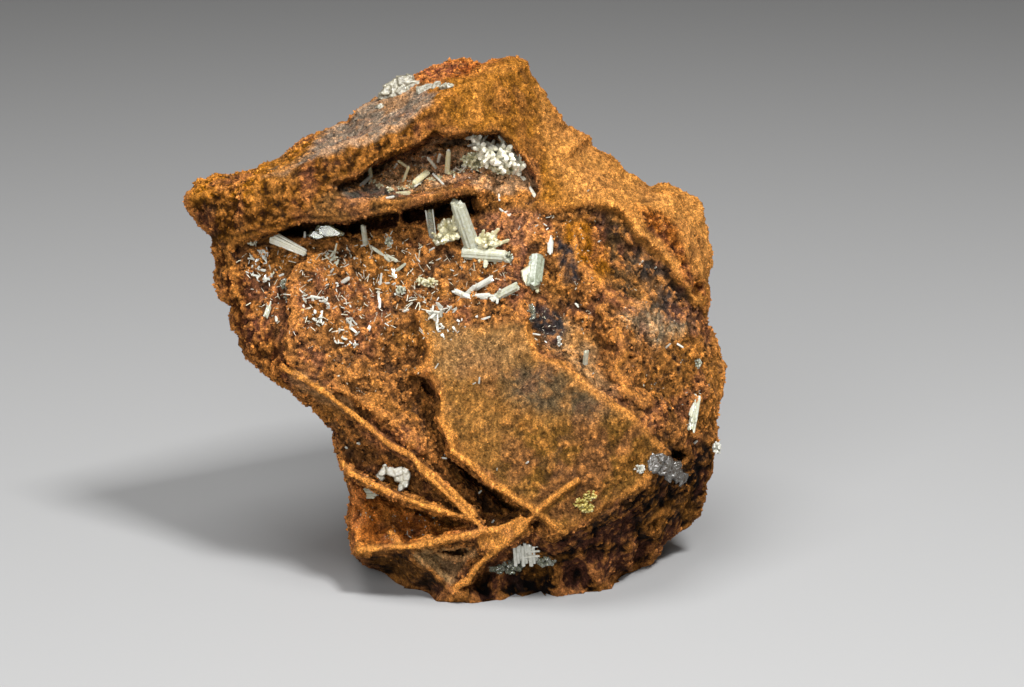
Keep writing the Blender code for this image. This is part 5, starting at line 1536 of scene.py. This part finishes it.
# The root, tip and width of each placed needle, in picture units. Many stand where small crystals catch
# the light, as white needles that are partly painted glints.
NEEDLES_AND_GLINTS = [
    ((384, 283.6), (389.7, 283), 2.4), ((391, 286), (395.5, 283), 2.4), ((393.5, 291), (395.5, 295), 2.4),
    ((400, 312.5), (409, 309.5), 3.4), ((402, 226), (403.5, 231), 2.4),
    ((428, 251.5), (434.5, 247.5), 2.8), ((358, 251.5), (354, 259.4), 3), ((354.5, 252), (357.5, 259), 2),
    ((359, 247), (365, 244.5), 2), ((347, 253), (347, 247), 1.8), ((329.5, 273.4), (333.5, 268.5), 2.6),
    ((347, 300), (351, 307.5), 2), ((354.5, 299.6), (351, 307), 2), ((304.6, 238.6), (305, 231.4), 2.6),
    ((284, 296.4), (286.5, 292.4), 2.8), ((286.6, 302.6), (294, 297), 2.8),
    ((276.4, 314), (276.6, 322), 3.4), ((276.6, 277), (284, 274), 2.6),
    ((474, 312.6), (477.4, 317.4), 3.6), ((480, 320), (490.5, 316.6), 2.6),
    ((531, 333.6), (540.6, 335), 1.8), ((540, 337), (547, 343), 1.5), ((573.6, 301), (578.6, 307.4), 2.6),
    ((471, 385), (475.8, 382.6), 1.8), ((478.6, 386.6), (479.6, 377), 2),
    ((432, 373.6), (438.4, 363.4), 1.5), ((591.4, 374.8), (593.8, 373), 2),
    ((665, 348.6), (670.6, 343.6), 2.2), ((675.6, 343), (683.4, 347.6), 2.2),
    ((692.4, 444.6), (697.6, 440.6), 2.6), ((353, 441), (360.3, 444.2), 2.8),
    ((343, 445), (347.6, 448.6), 2.8), ((478, 493.8), (481.6, 490.6), 2.2),
    ((491.4, 523.6), (494, 520), 2.2), ((440.6, 457.6), (447, 458.4), 1.8),
    ((444, 456), (446, 450.4), 1.8), ((496.6, 472), (497.2, 468.2), 1.6),
    ((524.6, 464.6), (528.6, 461.6), 2.6), ((537, 214), (541, 220), 1.6), ((541, 222), (547, 226), 1.6),
    ((544, 218), (550, 217), 1.4), ((533, 228), (538, 225), 1.6), ((551, 226), (546, 230), 1.6),
    ((641, 263.6), (643, 260.6), 2.2), ((654, 269), (656.4, 267), 2), ((376.6, 108.4), (382, 104), 4),
    ((586, 192), (589, 190), 1.4), ((517, 560), (524, 556), 1.8), ((470, 261), (478, 264), 1.6),
    ((300, 262), (308, 266), 1.4), ((433, 262), (441, 258), 1.8), ((446, 268), (454, 271), 1.6),
    ((401, 268), (408, 272), 1.6), ((415, 256), (420, 262), 1.8), ((342, 268), (349, 264), 1.6),
    ((360, 262), (366, 267), 1.4), ((366, 300), (371, 309), 1.6), ((362, 282), (358, 290), 1.6),
    ((298, 288), (303, 293), 1.6), ((306, 282), (312, 279), 1.6), ((322, 287), (329, 284), 1.6),
    ((418, 299), (426, 303), 1.6), ((406, 300), (412, 297), 1.6), ((476, 268), (483, 273), 1.4),
    ((520, 242), (526, 246), 1.4), ((517, 232), (520, 226), 1.4), ((243, 270), (249, 273), 1.6),
    ((268, 288), (274, 292), 1.6), ((331, 310), (337, 306), 1.4), ((383, 322), (389, 326), 1.4),
    ((455, 335), (459, 331), 1.2), ((430, 341), (436, 346), 1.2),
]
# Where needles are strewn: the corners of each area, how many, and their longest and widest.
STREWN = [
    ([(238, 246), (300, 245), (400, 232), (426, 244), (424, 300), (380, 330), (300, 336), (250, 310)],
     280, 12, 1.3),
    ([(424, 252), (520, 262), (522, 300), (450, 312), (424, 340), (412, 300)], 110, 10, 1.3),
    ([(534, 212), (600, 214), (606, 280), (590, 330), (534, 350), (528, 300)], 70, 5, 1.4),
    ([(300, 336), (420, 330), (424, 400), (330, 392)], 50, 4, 1.3),
    ([(344, 186), (400, 186), (500, 170), (532, 196), (500, 150), (430, 150), (370, 172)], 90, 5, 1.6),
    ([(640, 250), (700, 320), (716, 380), (690, 440), (640, 400), (610, 300)], 40, 4, 1.4),
    ([(360, 452), (400, 500), (470, 530), (430, 540), (358, 540), (352, 480)], 40, 5, 1.6),
]


def strew(shape, corners, count, longest, widest, draw):
    """Needles that lie and lean every way within the corners."""
    left, right = min(c for c, _ in corners), max(c for c, _ in corners)
    top, foot = min(r for _, r in corners), max(r for _, r in corners)
    placed = 0
    while placed < count:
        column, row = draw.uniform(left, right), draw.uniform(top, foot)
        if within(np.array([column]), np.array([row]), corners, 0.1)[0] < 0.5:
            continue
        placed += 1
        for _ in range(draw.choice((1, 1, 1, 2, 3))):
            turn, length = draw.uniform(0, 2 * math.pi), longest * draw.uniform(0.35, 1) ** 1.5
            tip = (column + length * math.cos(turn), row + length * math.sin(turn))
            width = widest * draw.uniform(0.5, 1.2)
            blade(shape, (column, row), tip, draw.uniform(0, 0.6), width, width * 0.6, sides=5)


shape = bmesh.new()
for base, tip, width in NEEDLES_AND_GLINTS:
    blade(shape, base, tip, 0.5, width, width * 0.8)
druse(shape, (639, 469), 7, 5, 0.9, 0.2, count=26, width=2.6)
# Painted glints: the white placed needles partly stand for light caught by small crystals.
show(shape, "fine_needles_and_glints", "matrix", white)

draw = random.Random(5)
shape = bmesh.new()
for corners, count, longest, widest in STREWN:
    strew(shape, corners, count, longest, widest, draw)
glassy = crystal_material("glassy adamite", (255, 252, 238), (236, 224, 186), 0.5, 0.08)
show(shape, "strewn_needles", "matrix", glassy)

# THE STUDIO
# The stone stands on a plain grey floor. A small lamp at the upper right models it, a softer one lights
# it from above, and a wide one in front fills its shadows.

FLOOR_REACH = 3
floor_mesh = bpy.data.meshes.new("floor")
corners = [(-1, -1), (1, -1), (1, 1), (-1, 1)]
floor_mesh.from_pydata([(x * FLOOR_REACH, y * FLOOR_REACH, 0) for x, y in corners], [], [range(4)])
floor = add_object("floor", floor_mesh)
floor_paint, shader = new_material("floor", Roughness=0.9)
shader.inputs["Base Color"].default_value = (0.3, 0.3, 0.3, 1)
floor_mesh.materials.append(floor_paint)


def lamp(name, place, size, power):
    """A square lamp of this size in metres and power in watts, aimed at the middle of the stone."""
    light = bpy.data.lights.new(name, "AREA")
    light.size = size
    light.energy = power
    holder = add_object(name, light)
    holder.location = place
    aim = Vector((0, 0, 0.03)) - Vector(place)
    holder.rotation_euler = aim.to_track_quat("-Z", "Y").to_euler()


lamp("key", (0.16, -0.26, 0.47), 0.1, 3.9)
lamp("overhead", (-0.08, -0.1, 0.5), 0.25, 1.8)
lamp("fill", (-0.15, -0.6, 0.3), 0.4, 3.6)
world = bpy.data.worlds.new("room")
bpy.context.scene.world = world
world.use_nodes = True
sky = world.node_tree.nodes["Background"]
sky.inputs["Color"].default_value = (0.68, 0.66, 0.63, 1)
sky.inputs["Strength"].default_value = 0.13

FILM_WIDTH, PICTURE_COLUMNS = 36, 1024
camera_data = bpy.data.cameras.new("camera")
camera_data.sensor_width = FILM_WIDTH
camera_data.lens = FILM_WIDTH * EYE_DISTANCE / (PICTURE_COLUMNS * PIXEL)
camera_data.clip_start = 0.01
camera = add_object("camera", camera_data)
camera.location = EYE
camera.rotation_euler = (seen(EYE_COLUMN, EYE_ROW, 0) - EYE).to_track_quat("-Z", "Y").to_euler()
bpy.context.scene.camera = camera
bpy.context.scene.view_settings.view_transform = "Standard"
